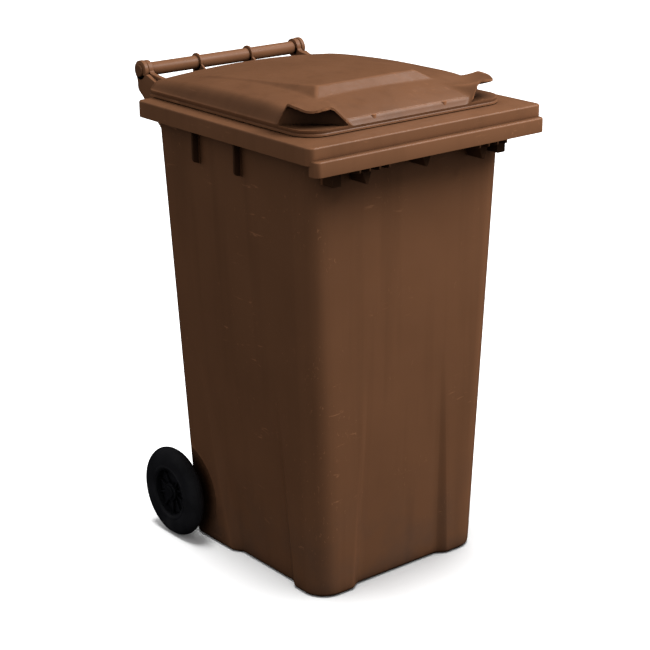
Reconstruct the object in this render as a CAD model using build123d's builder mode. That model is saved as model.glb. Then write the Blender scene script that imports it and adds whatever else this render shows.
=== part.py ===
from build123d import *
import os

# A two-wheeled refuse bin of about 240 litres, in millimetres.
# +Z is up, -Y is the front, X runs across; the origin is on the ground under the middle of the bin.

# Overall size
HALF_WIDTH = 297.5
LEDGE_FRONT, HANDLE_BACK = -359.5, 355.5
WALL = 4.0

# Body shell: its outline at the ground and just under the rim
FOOT_HALF, FOOT_FRONT, FOOT_BACK = 220.0, -266.0, 190.0
HEAD_HALF, HEAD_FRONT, HEAD_BACK = 264.5, -286.2, 216.3
FRONT_CORNER, BACK_CORNER = 52.0, 36.0
SHELL_TOP = 971.0
FLOOR = 16.0
FOOT_FILLET = 10.0

# Recessed panels low on the front and the sides, which fade out upwards
PANEL_TOP = 480.0
PANEL_DEPTH = 9.0
FRONT_PANEL_HALF_LOW, FRONT_PANEL_HALF_HIGH = 132.0, 108.0
SIDE_PANEL_LOW = (-182.0, 40.0)
SIDE_PANEL_HIGH = (-158.0, 124.0)
PANEL_SLOPE = 24.0

# Rim and comb ledge
RIM_TOP, RIM_SKIRT_BOTTOM = 974.0, 940.0
RIM_FRONT, RIM_BACK = -345.5, 224.0
RIM_CORNER = 16.0
OPENING_HALF, OPENING_FRONT, OPENING_BACK = 246.0, -268.0, 204.0
OPENING_CORNER_FRONT, OPENING_CORNER_BACK = 44.0, 32.0
LEDGE_HALF, LEDGE_TOP, LEDGE_BOTTOM = 292.0, 950.0, 920.0
LEDGE_CORNER = 16.0

# Lifting comb guides, teeth and end blocks under the ledge; upright ribs under the side rim
GUIDE_X, GUIDE_WIDTH, GUIDE_LOW = 150.0, 26.0, 873.0
MIDDLE_GUIDE_WIDTH, MIDDLE_GUIDE_LOW = 20.0, 883.0
GUIDE_FRONT, GUIDE_BACK = -332.0, -276.0
TOOTH_COUNT, TOOTH_FIRST, TOOTH_STEP, TOOTH_WIDTH = 4, 116.0, 24.0, 4.0
TOOTH_BOTTOM = 911.0
END_BLOCK_X, END_BLOCK_WIDTH, END_BLOCK_BOTTOM = 212.0, 22.0, 883.0
END_BLOCK_FRONT = -318.0
SIDE_RIBS_Y, SIDE_RIB_WIDTH, SIDE_RIB_BOTTOM, SIDE_RIB_X = (55.0, -85.0), 5.0, 866.0, 279.0
SIDE_RIB_ROOT = HEAD_HALF - 12.0

# Socket under the ledge for the identification transponder and its plug
CHIP_X, CHIP_Y = 60.0, -317.0
CHIP_WALL_RADIUS, CHIP_BORE_RADIUS = 17.5, 15.0
CHIP_BOTTOM, CHIP_CEILING = 921.0, 942.0
TRANSPONDER_RADIUS, TRANSPONDER_HEIGHT = 14.6, 4.0
PLUG_HEAD_RADIUS, PLUG_HEAD_HEIGHT = 17.0, 3.0

# Lid
LID_HALF, LID_FRONT, LID_BACK = 256.0, -286.5, 256.0
LID_CORNER_FRONT, LID_CORNER_BACK = 50.0, 34.0
LID_BOTTOM = 974.4
LID_LIP_TOP = 988.0
LID_WALL = 3.6

# Rubber buffers under the lid: (x, y, height at which the boss meets the lid)
BUFFERS = ((234.0, -260.0, 986.0), (90.0, -275.5, 992.0))
BOSS_BOTTOM, BOSS_RADIUS = 979.0, 8.0
BUFFER_RADIUS, BUFFER_GAP = 7.0, 0.3
STEM_RADIUS, STEM_TOP = 3.0, 983.0

# Handle bar and lid hinge, on one axis
HINGE_Y, HINGE_Z = 334.5, 1007.7
BAR_RADIUS, BAR_HALF = 14.3, 191.0
EAR_RADIUS = HANDLE_BACK - HINGE_Y
EAR_INNER, EAR_OUTER = 204.0, 214.0
COLLAR_X, COLLAR_RADIUS, COLLAR_WIDTH = 68.0, 19.5, 5.0
WEB_ROOT_Y, WEB_LOW, WEB_HIGH, WEB_FRONT = HEAD_BACK - 6.0, 850.0, 962.0, RIM_BACK + 40.0
EAR_FRONT, EAR_FRONT_TOP = LID_BACK + 2.5, 984.0
EYE_INNER, EYE_OUTER = 191.6, 203.4
EYE_RADIUS = 20.0
PIN_RADIUS = 8.0
PIN_INNER = 158.0
PIN_HEAD_RADIUS, PIN_HEAD_WIDTH, PIN_HEAD_GAP = 13.0, 5.0, 0.3
RUNNING_GAP = 0.05

# Wheels and axle
WHEEL_RADIUS, TYRE_WIDTH, HUB_WIDTH = 100.0, 38.0, 52.0
WHEEL_OUTER = 277.0
AXLE_Y, AXLE_Z = 198.0, WHEEL_RADIUS
AXLE_RADIUS, AXLE_HALF = 10.0, 268.0
ARCH_RADIUS, ARCH_X, ARCH_DEPTH = 112.0, 200.0, 100.0
NOTCH_HALF, NOTCH_FRONT, NOTCH_TOP, NOTCH_DEPTH = 176.0, 158.0, 138.0, 200.0
AXLE_PLATES, AXLE_PLATE_WIDTH = (-182.0, -136.0, -66.0, 60.0, 130.0, 176.0), 6.0
TREAD_EDGE, SIDEWALL, BEAD = 92.0, 80.0, 66.0
RIM_SEAT, RIM_BAND = 53.0, 6.0
SPOKES, SPOKE_WIDTH = 10, 5.0
HUB_RADIUS, CAP_RADIUS, CAP_POCKET, CAP_SEAT = 20.0, 14.0, 9.0, 2.1
LATCH_BOSS_WIDTH, LATCH_BOSS_HEIGHT, LATCH_BOSS_Z = 15.0, 33.0, 34.0
LATCH_X = 238.0
GROOVE_RADIUS, GROOVE_WIDTH = 8.0, 9.0
LATCH_RADIUS = 4.0
LATCH_LOW, LATCH_HIGH = 8.5, 30.0
SPRING_HIGH = 42.0

os.makedirs("parts", exist_ok=True)


def save(piece, name):
    piece.part.label = name
    export_step(piece.part, f"parts/{name}.step")


def outline(half, front, back, front_corner, back_corner):
    """A rectangle across the bin's width with its own corner radii at the front and the back."""
    with BuildSketch(mode=Mode.PRIVATE) as shape:
        with Locations((0, (front + back) / 2)):
            Rectangle(2 * half, back - front)
        fillet(shape.vertices().group_by(Axis.Y)[0], front_corner)
        fillet(shape.vertices().group_by(Axis.Y)[-1], back_corner)
    return shape.sketch


def shell_outline(height, inset):
    """The body's outline at a height, moved in by inset."""
    share = height / SHELL_TOP
    half = FOOT_HALF + (HEAD_HALF - FOOT_HALF) * share
    front = FOOT_FRONT + (HEAD_FRONT - FOOT_FRONT) * share
    back = FOOT_BACK + (HEAD_BACK - FOOT_BACK) * share
    return outline(half - inset, front + inset, back - inset, FRONT_CORNER - inset, BACK_CORNER - inset)


def front_panel_cut(inset):
    """The wedge taken out of the front, deepest at the ground; inset widens it for the inner side."""
    with BuildPart(mode=Mode.PRIVATE) as wedge:
        for height, half, depth in (
            (-1.0, FRONT_PANEL_HALF_LOW, PANEL_DEPTH),
            (PANEL_TOP, FRONT_PANEL_HALF_HIGH, 0.0),
        ):
            front = FOOT_FRONT + (HEAD_FRONT - FOOT_FRONT) * height / SHELL_TOP + depth + inset
            slope = PANEL_SLOPE * max(depth, 0.4) / PANEL_DEPTH
            with BuildSketch(Plane.XY.offset(height)):
                with BuildLine():
                    Polyline(
                        (-half - inset, front - depth - 30.0),
                        (-half - inset, front - depth),
                        (-half - inset + slope, front),
                        (half + inset - slope, front),
                        (half + inset, front - depth),
                        (half + inset, front - depth - 30.0),
                        close=True,
                    )
                make_face()
        loft(ruled=True)
    return wedge.part


def side_panel_cut(side, inset):
    """The same kind of wedge out of one side wall; side is -1 for the left and 1 for the right."""
    with BuildPart(mode=Mode.PRIVATE) as wedge:
        for height, (low_y, high_y), depth in (
            (-1.0, SIDE_PANEL_LOW, PANEL_DEPTH),
            (PANEL_TOP, SIDE_PANEL_HIGH, 0.0),
        ):
            half = FOOT_HALF + (HEAD_HALF - FOOT_HALF) * height / SHELL_TOP - depth - inset
            slope = PANEL_SLOPE * max(depth, 0.4) / PANEL_DEPTH
            with BuildSketch(Plane.XY.offset(height)):
                with BuildLine():
                    Polyline(
                        (side * (half + depth + 30.0), low_y - inset),
                        (side * (half + depth), low_y - inset),
                        (side * half, low_y - inset + slope),
                        (side * half, high_y + inset - slope),
                        (side * (half + depth), high_y + inset),
                        (side * (half + depth + 30.0), high_y + inset),
                        close=True,
                    )
                make_face()
        loft(ruled=True)
    return wedge.part


def make_cavity():
    """The space inside the body, which follows every outer recess at the wall's thickness."""
    with BuildPart() as cavity:
        for height in (FLOOR, RIM_TOP - WALL):
            with BuildSketch(Plane.XY.offset(height)):
                add(shell_outline(height, WALL))
        loft(ruled=True)
        fillet(cavity.edges().group_by(Axis.Z)[0], FOOT_FILLET)
        add(front_panel_cut(WALL), mode=Mode.SUBTRACT)
        for side in (-1, 1):
            add(side_panel_cut(side, WALL), mode=Mode.SUBTRACT)
            with Locations((side * (ARCH_X - WALL + ARCH_DEPTH / 2), AXLE_Y, AXLE_Z)):
                Cylinder(ARCH_RADIUS + WALL, ARCH_DEPTH, rotation=(0, 90, 0), mode=Mode.SUBTRACT)
        with Locations((0, NOTCH_FRONT - WALL, 0)):
            Box(
                2 * (NOTCH_HALF + WALL), NOTCH_DEPTH, 2 * (NOTCH_TOP + WALL),
                align=(Align.CENTER, Align.MIN, Align.CENTER), mode=Mode.SUBTRACT,
            )
    return cavity.part


def turned_down_flange(half, front, back, corners, bottom, top):
    """A flat flange with a skirt turned down all round, open from below."""
    with BuildPart(mode=Mode.PRIVATE) as flange:
        with BuildSketch(Plane.XY.offset(bottom)):
            add(outline(half, front, back, *corners))
        extrude(amount=top - bottom)
        inner_corners = [max(corner - WALL, 1.0) for corner in corners]
        with BuildSketch(Plane.XY.offset(bottom)):
            add(outline(half - WALL, front + WALL, back - WALL, *inner_corners))
        extrude(amount=top - bottom - WALL, mode=Mode.SUBTRACT)
    return flange.part


def profile_plate(points, low_x, high_x):
    """A plate across the bin's width between two X values, whose outline is given as (y, z) points."""
    with BuildPart(mode=Mode.PRIVATE) as plate:
        with BuildSketch(Plane.YZ.offset(low_x)):
            with BuildLine():
                Polyline(*points, close=True)
            make_face()
        extrude(amount=high_x - low_x)
    return plate.part


def add_handle():
    """The moulded bar with its collars, the webs that carry it, and the ears that hold the hinge pins."""
    with Locations((0, HINGE_Y, HINGE_Z)):
        Cylinder(BAR_RADIUS, 2 * BAR_HALF, rotation=(0, 90, 0))
    for side in (-1, 1):
        with Locations((side * COLLAR_X, HINGE_Y, HINGE_Z)):
            Cylinder(COLLAR_RADIUS, COLLAR_WIDTH, rotation=(0, 90, 0))
        web = [
            (HINGE_Y - 12.0, HINGE_Z), (HINGE_Y + 12.0, HINGE_Z), (HINGE_Y + 8.0, HINGE_Z - 46.0),
            (WEB_ROOT_Y, WEB_LOW), (WEB_ROOT_Y, WEB_HIGH), (WEB_FRONT, WEB_HIGH),
        ]
        low = side * COLLAR_X - COLLAR_WIDTH / 2
        add(profile_plate(web, low, low + COLLAR_WIDTH))
        low = EAR_INNER if side > 0 else -EAR_OUTER
        with Locations((side * (EAR_INNER + EAR_OUTER) / 2, HINGE_Y, HINGE_Z)):
            Cylinder(EAR_RADIUS, EAR_OUTER - EAR_INNER, rotation=(0, 90, 0))
        ear = [
            (HINGE_Y - 24.0, HINGE_Z - 6.0), (HINGE_Y + 16.0, HINGE_Z), (HINGE_Y + 10.0, HINGE_Z - 20.0),
            (HINGE_Y + 10.0, HINGE_Z - 40.0), (HINGE_Y - 5.0, HINGE_Z - 51.0),
            (WEB_ROOT_Y, WEB_LOW), (WEB_ROOT_Y, WEB_HIGH), (EAR_FRONT, WEB_HIGH), (EAR_FRONT, EAR_FRONT_TOP),
        ]
        add(profile_plate(ear, low, low + EAR_OUTER - EAR_INNER))
    pin_length = 2 * (EAR_OUTER + 1.0)
    with Locations((0, HINGE_Y, HINGE_Z)):
        Cylinder(PIN_RADIUS + RUNNING_GAP, pin_length, rotation=(0, 90, 0), mode=Mode.SUBTRACT)


def comb_guide(middle, width, low):
    """A rib under the ledge that points down, which centres the lifting comb."""
    left, right = middle - width / 2, middle + width / 2
    top, shoulder = LEDGE_TOP - 1.0, LEDGE_BOTTOM - 8.0
    with BuildPart(mode=Mode.PRIVATE) as guide:
        with BuildSketch(Plane.XZ.offset(-GUIDE_FRONT)):
            with BuildLine():
                Polyline(
                    (left, top), (right, top), (right, shoulder), (middle, low), (left, shoulder), close=True
                )
            make_face()
        extrude(amount=GUIDE_FRONT - GUIDE_BACK)
    return guide.part


def block(low, high):
    """A plain block between two opposite corners."""
    with BuildPart(mode=Mode.PRIVATE) as piece:
        with Locations((Vector(*low) + Vector(*high)) / 2):
            Box(*(Vector(*high) - Vector(*low)))
    return piece.part


def add_ledge_ribs():
    """Guides, short teeth and end blocks under the ledge, and upright ribs under the side rim."""
    top = LEDGE_TOP - 1.0
    ledge_front = LEDGE_FRONT + WALL / 2
    add(comb_guide(-GUIDE_X, GUIDE_WIDTH, GUIDE_LOW))
    add(comb_guide(0.0, MIDDLE_GUIDE_WIDTH, MIDDLE_GUIDE_LOW))
    add(comb_guide(GUIDE_X, GUIDE_WIDTH, GUIDE_LOW))
    for side in (-1, 1):
        for step in range(TOOTH_COUNT):
            x = side * (TOOTH_FIRST + TOOTH_STEP * step)
            half = TOOTH_WIDTH / 2
            add(block((x - half, ledge_front, TOOTH_BOTTOM), (x + half, GUIDE_BACK, top)))
        x = side * END_BLOCK_X
        half = END_BLOCK_WIDTH / 2
        add(block((x - half, END_BLOCK_FRONT, END_BLOCK_BOTTOM), (x + half, GUIDE_BACK, top)))
        near, far = sorted((side * SIDE_RIB_ROOT, side * SIDE_RIB_X))
        for rib_y in SIDE_RIBS_Y:
            half = SIDE_RIB_WIDTH / 2
            add(block((near, rib_y - half, SIDE_RIB_BOTTOM), (far, rib_y + half, RIM_TOP - 1.0)))


def add_chip_socket():
    """A round socket under the ledge, open from below."""
    with Locations((CHIP_X, CHIP_Y, CHIP_BOTTOM)):
        Cylinder(
            CHIP_WALL_RADIUS, LEDGE_TOP - 1.0 - CHIP_BOTTOM,
            align=(Align.CENTER, Align.CENTER, Align.MIN),
        )
        Cylinder(
            CHIP_BORE_RADIUS, CHIP_CEILING - CHIP_BOTTOM,
            align=(Align.CENTER, Align.CENTER, Align.MIN), mode=Mode.SUBTRACT,
        )


def add_axle_housing():
    """Plates across the notch under the back of the bin, which carry the axle."""
    housing = [
        (NOTCH_FRONT - 2.0, 46.0), (AXLE_Y - 4.0, 70.0), (AXLE_Y + 18.0, 82.0),
        (AXLE_Y + 18.0, 118.0), (AXLE_Y - 2.0, NOTCH_TOP + 2.0), (NOTCH_FRONT - 2.0, NOTCH_TOP + 2.0),
    ]
    for low in AXLE_PLATES:
        add(profile_plate(housing, low, low + AXLE_PLATE_WIDTH))
    with Locations((0, AXLE_Y, AXLE_Z)):
        Cylinder(AXLE_RADIUS + RUNNING_GAP, 2 * HALF_WIDTH, rotation=(0, 90, 0), mode=Mode.SUBTRACT)


def make_container(cavity):
    with BuildPart() as container:
        for height in (0.0, SHELL_TOP):
            with BuildSketch(Plane.XY.offset(height)):
                add(shell_outline(height, 0.0))
        loft(ruled=True)
        fillet(container.edges().group_by(Axis.Z)[0], FOOT_FILLET)
        add(front_panel_cut(0.0), mode=Mode.SUBTRACT)
        for side in (-1, 1):
            add(side_panel_cut(side, 0.0), mode=Mode.SUBTRACT)
            with Locations((side * (ARCH_X + ARCH_DEPTH / 2), AXLE_Y, AXLE_Z)):
                Cylinder(ARCH_RADIUS, ARCH_DEPTH, rotation=(0, 90, 0), mode=Mode.SUBTRACT)
        with Locations((0, NOTCH_FRONT, 0)):
            Box(
                2 * NOTCH_HALF, NOTCH_DEPTH, 2 * NOTCH_TOP,
                align=(Align.CENTER, Align.MIN, Align.CENTER), mode=Mode.SUBTRACT,
            )
        rim_corners = (RIM_CORNER, RIM_CORNER)
        add(turned_down_flange(HALF_WIDTH, RIM_FRONT, RIM_BACK, rim_corners, RIM_SKIRT_BOTTOM, RIM_TOP))
        ledge_corners = (LEDGE_CORNER, 1.0)
        ledge_back = HEAD_FRONT + 8.0
        add(turned_down_flange(LEDGE_HALF, LEDGE_FRONT, ledge_back, ledge_corners, LEDGE_BOTTOM, LEDGE_TOP))
        add_ledge_ribs()
        add_chip_socket()
        add_handle()
        add_axle_housing()
        add(cavity, mode=Mode.SUBTRACT)
        with BuildSketch(Plane.XY.offset(RIM_TOP - WALL - 1.0)):
            add(outline(
                OPENING_HALF, OPENING_FRONT, OPENING_BACK, OPENING_CORNER_FRONT, OPENING_CORNER_BACK
            ))
        extrude(amount=100.0, mode=Mode.SUBTRACT)
        with BuildSketch():
            add(outline(FOOT_HALF - 24.0, FOOT_FRONT + 28.0, NOTCH_FRONT - 16.0, 36.0, 10.0))
        extrude(amount=FLOOR - WALL, mode=Mode.SUBTRACT)
    return container


container = make_container(make_cavity())
save(container, "container")


# Lid. Its crown is a set of planes: (y, height on the middle line, fall per mm outwards, rise per mm back)
CROWN_PLANES = (
    (-60.0, 1030.0, 0.045, 0.077),
    (-60.0, 1030.0, 0.045, -0.0125),
    (100.0, 1028.0, 0.045, -0.130),
    (-190.0, 1018.0, 0.0, 0.3125),
    (243.0, 1012.0, 0.0, -1.2),
)
SHOULDER_X, SHOULDER_Z, SHOULDER_FALL = 222.0, 1020.0, 0.94
PLATEAU_FOOT_FRONT = (158.0, -188.0)
PLATEAU_TOP_FRONT = Vector(125.0, -150.0, 1037.5)
PLATEAU_BACK = Vector(174.0, 136.0, 1014.0)
GRIP_TOP, GRIP_SLOPE, GRIP_PLATE = 1025.0, 12.0 / 90.0, 5.0
GRIP_TIP_X, GRIP_TIP_Y = 236.0, -268.0
POCKET_FLOOR = LID_LIP_TOP


def below(origin, slope_x, slope_y, drop):
    """Keeps what lies under the plane through origin with these slopes, moved in by drop along its normal."""
    normal = Vector(-slope_x, -slope_y, 1.0).normalized()
    split(bisect_by=Plane(origin=origin - normal * drop, z_dir=normal), keep=Keep.BOTTOM)


def lid_form(inset):
    """The lid's crowned form without grips or plateau; inset gives the form of its inside."""
    front_corner, back_corner = LID_CORNER_FRONT - inset, LID_CORNER_BACK - inset
    with BuildPart(mode=Mode.PRIVATE) as form:
        with BuildSketch(Plane.XY.offset(LID_BOTTOM - inset)):
            add(outline(LID_HALF - inset, LID_FRONT + inset, LID_BACK - inset, front_corner, back_corner))
        extrude(amount=100.0)
        for side in (-1, 1):
            for y, height, fall, rise in CROWN_PLANES:
                below(Vector(0, y, height), -side * fall, rise, inset)
            below(Vector(side * SHOULDER_X, 0, SHOULDER_Z), -side * SHOULDER_FALL, 0.0, inset)
    return form.part


def plateau(drop):
    """The raised panel in the middle of the lid, highest at its front and level with the lid at its back."""
    down = Vector(0, 0, -drop)
    foot_x, foot_y = PLATEAU_FOOT_FRONT
    foot = Vector(foot_x, foot_y, 1012.0) + down
    front = PLATEAU_TOP_FRONT + down
    back = PLATEAU_BACK + down
    with BuildPart(mode=Mode.PRIVATE) as panel:
        with BuildSketch(Plane.XY.offset(LID_LIP_TOP)):
            with BuildLine():
                Polyline(
                    (-foot_x - 20.0, foot_y - 10.0), (foot_x + 20.0, foot_y - 10.0),
                    (back.X, back.Y), (-back.X, back.Y), close=True,
                )
            make_face()
        extrude(amount=80.0)
        top_rise = (back.Z - front.Z) / (back.Y - front.Y)
        below(front, 0.0, top_rise, 0.0)
        below(front, 0.0, (front.Z - foot.Z) / (front.Y - foot.Y), 0.0)
        for side in (-1, 1):
            corner = Vector(side * front.X, front.Y, front.Z)
            along = Vector(side * back.X, back.Y, back.Z) - corner
            normal = along.cross(Vector(side * foot.X, foot.Y, foot.Z) - corner)
            below(corner, -normal.X / normal.Z, -normal.Y / normal.Z, 0.0)
    return panel.part


def cut_under_grip_top(side, lower):
    """Keeps what lies under a corner grip's tilted top, which falls towards the middle of the lid."""
    slope = GRIP_SLOPE * 0.5 ** 0.5
    below(Vector(side * GRIP_TIP_X, GRIP_TIP_Y, GRIP_TOP), side * slope, -slope, lower)


def grip_hood(side):
    """The block of a corner grip, before its finger pocket is cut."""
    with BuildPart(mode=Mode.PRIVATE) as hood:
        with BuildSketch(Plane.XY.offset(POCKET_FLOOR - 5.0)):
            with BuildLine():
                ThreePointArc((side * 248.0, -208.0), (side * 235.0, -268.0), (side * 172.0, -281.0))
                Polyline(
                    (side * 172.0, -281.0), (side * 150.0, -236.0),
                    (side * 206.0, -180.0), (side * 248.0, -208.0),
                )
            make_face()
        extrude(amount=60.0)
        cut_under_grip_top(side, 0.0)
    return hood.part


def grip_pocket(side, margin):
    """The finger pocket under a grip, open to the lid's corner."""
    with BuildPart(mode=Mode.PRIVATE) as pocket:
        with BuildSketch(Plane.XY.offset(POCKET_FLOOR - margin)):
            with BuildLine():
                ThreePointArc(
                    (side * (256.0 - margin / 2), -200.0 + margin),
                    (side * (202.0 - margin), -230.0 + margin),
                    (side * (168.0 - margin), -290.0 + margin / 2),
                )
                Polyline(
                    (side * (168.0 - margin), -290.0 + margin / 2), (side * (168.0 - margin), -320.0),
                    (side * 290.0, -320.0), (side * 290.0, -200.0 + margin),
                    (side * (256.0 - margin / 2), -200.0 + margin),
                )
            make_face()
        extrude(amount=60.0)
        if margin == 0.0:
            cut_under_grip_top(side, GRIP_PLATE)
    return pocket.part


def lid_hollow():
    """The space under the lid, which keeps the wall's thickness below the plateau and above the pockets."""
    with BuildPart(mode=Mode.PRIVATE) as hollow:
        add(lid_form(LID_WALL))
        add(plateau(LID_WALL))
        for side in (-1, 1):
            add(grip_pocket(side, LID_WALL), mode=Mode.SUBTRACT)
    return hollow.part


def add_buffer_bosses():
    """Bosses under the lid with a hole each for a buffer's stem."""
    for x, y, top in BUFFERS:
        with Locations((x, y, BOSS_BOTTOM), (-x, y, BOSS_BOTTOM)):
            Cylinder(BOSS_RADIUS, top - BOSS_BOTTOM, align=(Align.CENTER, Align.CENTER, Align.MIN))
            Cylinder(
                STEM_RADIUS + RUNNING_GAP, STEM_TOP + 0.2 - BOSS_BOTTOM,
                align=(Align.CENTER, Align.CENTER, Align.MIN), mode=Mode.SUBTRACT,
            )


def add_lid_hinges():
    """The lid's two arms and the eyes that turn on the hinge pins."""
    width = EYE_OUTER - EYE_INNER
    arm = [
        (HINGE_Y - 4.0, HINGE_Z - 2.0), (HINGE_Y - 8.0, HINGE_Z - 17.0), (HINGE_Y - 30.0, HINGE_Z - 20.0),
        (LID_BACK - 3.0, 977.0), (LID_BACK - 3.0, 996.0), (HINGE_Y - 22.0, 1002.0),
    ]
    for side in (-1, 1):
        with Locations((side * (EYE_INNER + EYE_OUTER) / 2, HINGE_Y, HINGE_Z)):
            Cylinder(EYE_RADIUS, width, rotation=(0, 90, 0))
        low = EYE_INNER if side > 0 else -EYE_OUTER
        add(profile_plate(arm, low, low + width))
    with Locations((0, HINGE_Y, HINGE_Z)):
        Cylinder(PIN_RADIUS + RUNNING_GAP, 2 * HALF_WIDTH, rotation=(0, 90, 0), mode=Mode.SUBTRACT)


def make_lid(hollow):
    with BuildPart() as lid:
        add(lid_form(0.0))
        add(plateau(0.0))
        for side in (-1, 1):
            add(grip_hood(side))
        with BuildSketch(Plane.XY.offset(LID_BOTTOM)):
            add(outline(LID_HALF, LID_FRONT, LID_BACK, LID_CORNER_FRONT, LID_CORNER_BACK))
        extrude(amount=100.0, mode=Mode.INTERSECT)
        for side in (-1, 1):
            add(grip_pocket(side, 0.0), mode=Mode.SUBTRACT)
        add(hollow, mode=Mode.SUBTRACT)
        add_buffer_bosses()
        add_lid_hinges()
    return lid


save(make_lid(lid_hollow()), "lid")


def make_hinge_pin(side):
    """A headed plug through the ear, the lid's eye and the end of the handle bar."""
    head = side * (EAR_OUTER + PIN_HEAD_GAP + PIN_HEAD_WIDTH / 2)
    near, far = sorted((side * PIN_INNER, head))
    with BuildPart() as pin:
        with Locations(((near + far) / 2, HINGE_Y, HINGE_Z)):
            Cylinder(PIN_RADIUS, far - near, rotation=(0, 90, 0))
        chamfer(pin.edges().filter_by(GeomType.CIRCLE).sort_by(Axis.X)[0 if side > 0 else -1], 2.0)
        with Locations((head, HINGE_Y, HINGE_Z)):
            Cylinder(PIN_HEAD_RADIUS, PIN_HEAD_WIDTH, rotation=(0, 90, 0))
        rim = pin.edges().filter_by(GeomType.CIRCLE).sort_by(Axis.X)[-1 if side > 0 else 0]
        fillet(rim, PIN_HEAD_WIDTH / 2)
    return pin


def ring(inner, outer, low_x, high_x):
    """A plain ring about the X axis through the axle."""
    with BuildPart(mode=Mode.PRIVATE) as piece:
        with BuildSketch(Plane.YZ.offset(low_x)):
            with Locations((AXLE_Y, AXLE_Z)):
                Circle(outer)
                Circle(inner, mode=Mode.SUBTRACT)
        extrude(amount=high_x - low_x)
    return piece.part


def make_axle():
    with BuildPart() as axle:
        with Locations((0, AXLE_Y, AXLE_Z)):
            Cylinder(AXLE_RADIUS, 2 * AXLE_HALF, rotation=(0, 90, 0))
        chamfer(axle.edges().filter_by(GeomType.CIRCLE), 2.0)
        for side in (-1, 1):
            middle = side * LATCH_X
            low = middle - GROOVE_WIDTH / 2
            groove = ring(GROOVE_RADIUS, AXLE_RADIUS + 2.0, low, low + GROOVE_WIDTH)
            add(groove, mode=Mode.SUBTRACT)
    return axle


def make_tyre():
    """The right-hand tyre, about the Y axis at the origin: outer face at high Y."""
    inner, outer = WHEEL_OUTER - TYRE_WIDTH, WHEEL_OUTER
    middle = (inner + outer) / 2
    with BuildPart() as tyre:
        with BuildSketch(Plane.XY):
            with BuildLine():
                Polyline(
                    (TREAD_EDGE, outer - 8.0), (SIDEWALL, outer - 2.0), (BEAD, outer), (RIM_SEAT, outer - 4.0)
                )
                Polyline(
                    (RIM_SEAT, outer - 4.0), (RIM_SEAT, inner + 4.0),
                    (BEAD, inner), (SIDEWALL, inner + 2.0), (TREAD_EDGE, inner + 8.0),
                )
                ThreePointArc((TREAD_EDGE, inner + 8.0), (WHEEL_RADIUS, middle), (TREAD_EDGE, outer - 8.0))
            make_face()
        revolve(axis=Axis.Y)
    return tyre.part


def make_wheel_rim():
    """The right-hand rim about the Y axis: hub, spokes and band, with the latch's boss towards +Z."""
    inner, outer = WHEEL_OUTER - HUB_WIDTH, WHEEL_OUTER
    band = WHEEL_OUTER - TYRE_WIDTH
    with BuildPart() as rim:
        with BuildSketch(Plane.XZ.offset(-(band + 4.0))):
            Circle(RIM_SEAT)
            Circle(RIM_SEAT - RIM_BAND, mode=Mode.SUBTRACT)
        extrude(amount=-(TYRE_WIDTH - 8.0))
        with BuildSketch(Plane.XZ.offset(-(inner + 2.0))):
            Circle(HUB_RADIUS)
        extrude(amount=-(HUB_WIDTH - 8.0))
        for turn in range(SPOKES):
            with BuildSketch(Plane.XZ.offset(-(band + 6.0))):
                angle = 90.0 + 360.0 / SPOKES * turn
                with PolarLocations((HUB_RADIUS + RIM_SEAT) / 2 - 3.0, 1, start_angle=angle):
                    Rectangle(RIM_SEAT - HUB_RADIUS + 2.0, SPOKE_WIDTH)
            extrude(amount=-(TYRE_WIDTH - 18.0))
        with Locations((0, LATCH_X, LATCH_BOSS_Z)):
            Box(LATCH_BOSS_WIDTH, LATCH_BOSS_WIDTH, LATCH_BOSS_HEIGHT)
        with Locations((0, (inner + outer) / 2, 0)):
            Cylinder(AXLE_RADIUS + RUNNING_GAP, 100.0, rotation=(90, 0, 0), mode=Mode.SUBTRACT)
        with Locations((0, LATCH_X, 0)):
            Cylinder(
                LATCH_RADIUS + RUNNING_GAP, SPRING_HIGH,
                align=(Align.CENTER, Align.CENTER, Align.MIN), mode=Mode.SUBTRACT,
            )
        with Locations((0, outer, 0)):
            Cylinder(CAP_RADIUS, 2 * CAP_POCKET, rotation=(90, 0, 0), mode=Mode.SUBTRACT)
    return rim.part


def make_hub_cap():
    """The cap pressed into the outer end of the hub."""
    with BuildPart() as cap:
        with BuildSketch(Plane.XZ.offset(-(WHEEL_OUTER - CAP_POCKET + CAP_SEAT))):
            Circle(CAP_RADIUS)
        extrude(amount=-5.0)
        fillet(cap.edges().filter_by(GeomType.CIRCLE).sort_by(Axis.Y)[-1], 2.0)
    return cap.part


def make_latch_pin():
    """The sprung pin that drops into the axle's groove and holds the wheel on."""
    with BuildPart() as pin:
        with Locations((0, LATCH_X, LATCH_LOW)):
            Cylinder(LATCH_RADIUS, LATCH_HIGH - LATCH_LOW, align=(Align.CENTER, Align.CENTER, Align.MIN))
        chamfer(pin.edges().group_by(Axis.Z)[0], 0.8)
        with Locations((0, LATCH_X, LATCH_HIGH)):
            Cylinder(1.6, 4.0, align=(Align.CENTER, Align.CENTER, Align.MIN))
    return pin.part


def make_latch_spring():
    """The coil spring between the latch pin and the end of its bore."""
    with BuildPart() as spring:
        with BuildLine():
            Helix(pitch=2.1, height=SPRING_HIGH - LATCH_HIGH - 1.6, radius=2.7)
        with BuildSketch(Plane.XZ):
            with Locations((2.7, 0)):
                Circle(0.5)
        sweep(is_frenet=True)
    return spring.part.translate(Vector(0, LATCH_X, LATCH_HIGH + 0.8))


def on_axle(piece, side):
    """Turns a right-hand wheel piece, made about the Y axis, onto the axle at one side of the bin."""
    turned = piece.rotate(Axis.Z, -90 * side)
    return turned.translate(Vector(0, AXLE_Y, AXLE_Z))


def save_solid(solid, name):
    solid.label = name
    export_step(solid, f"parts/{name}.step")


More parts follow.
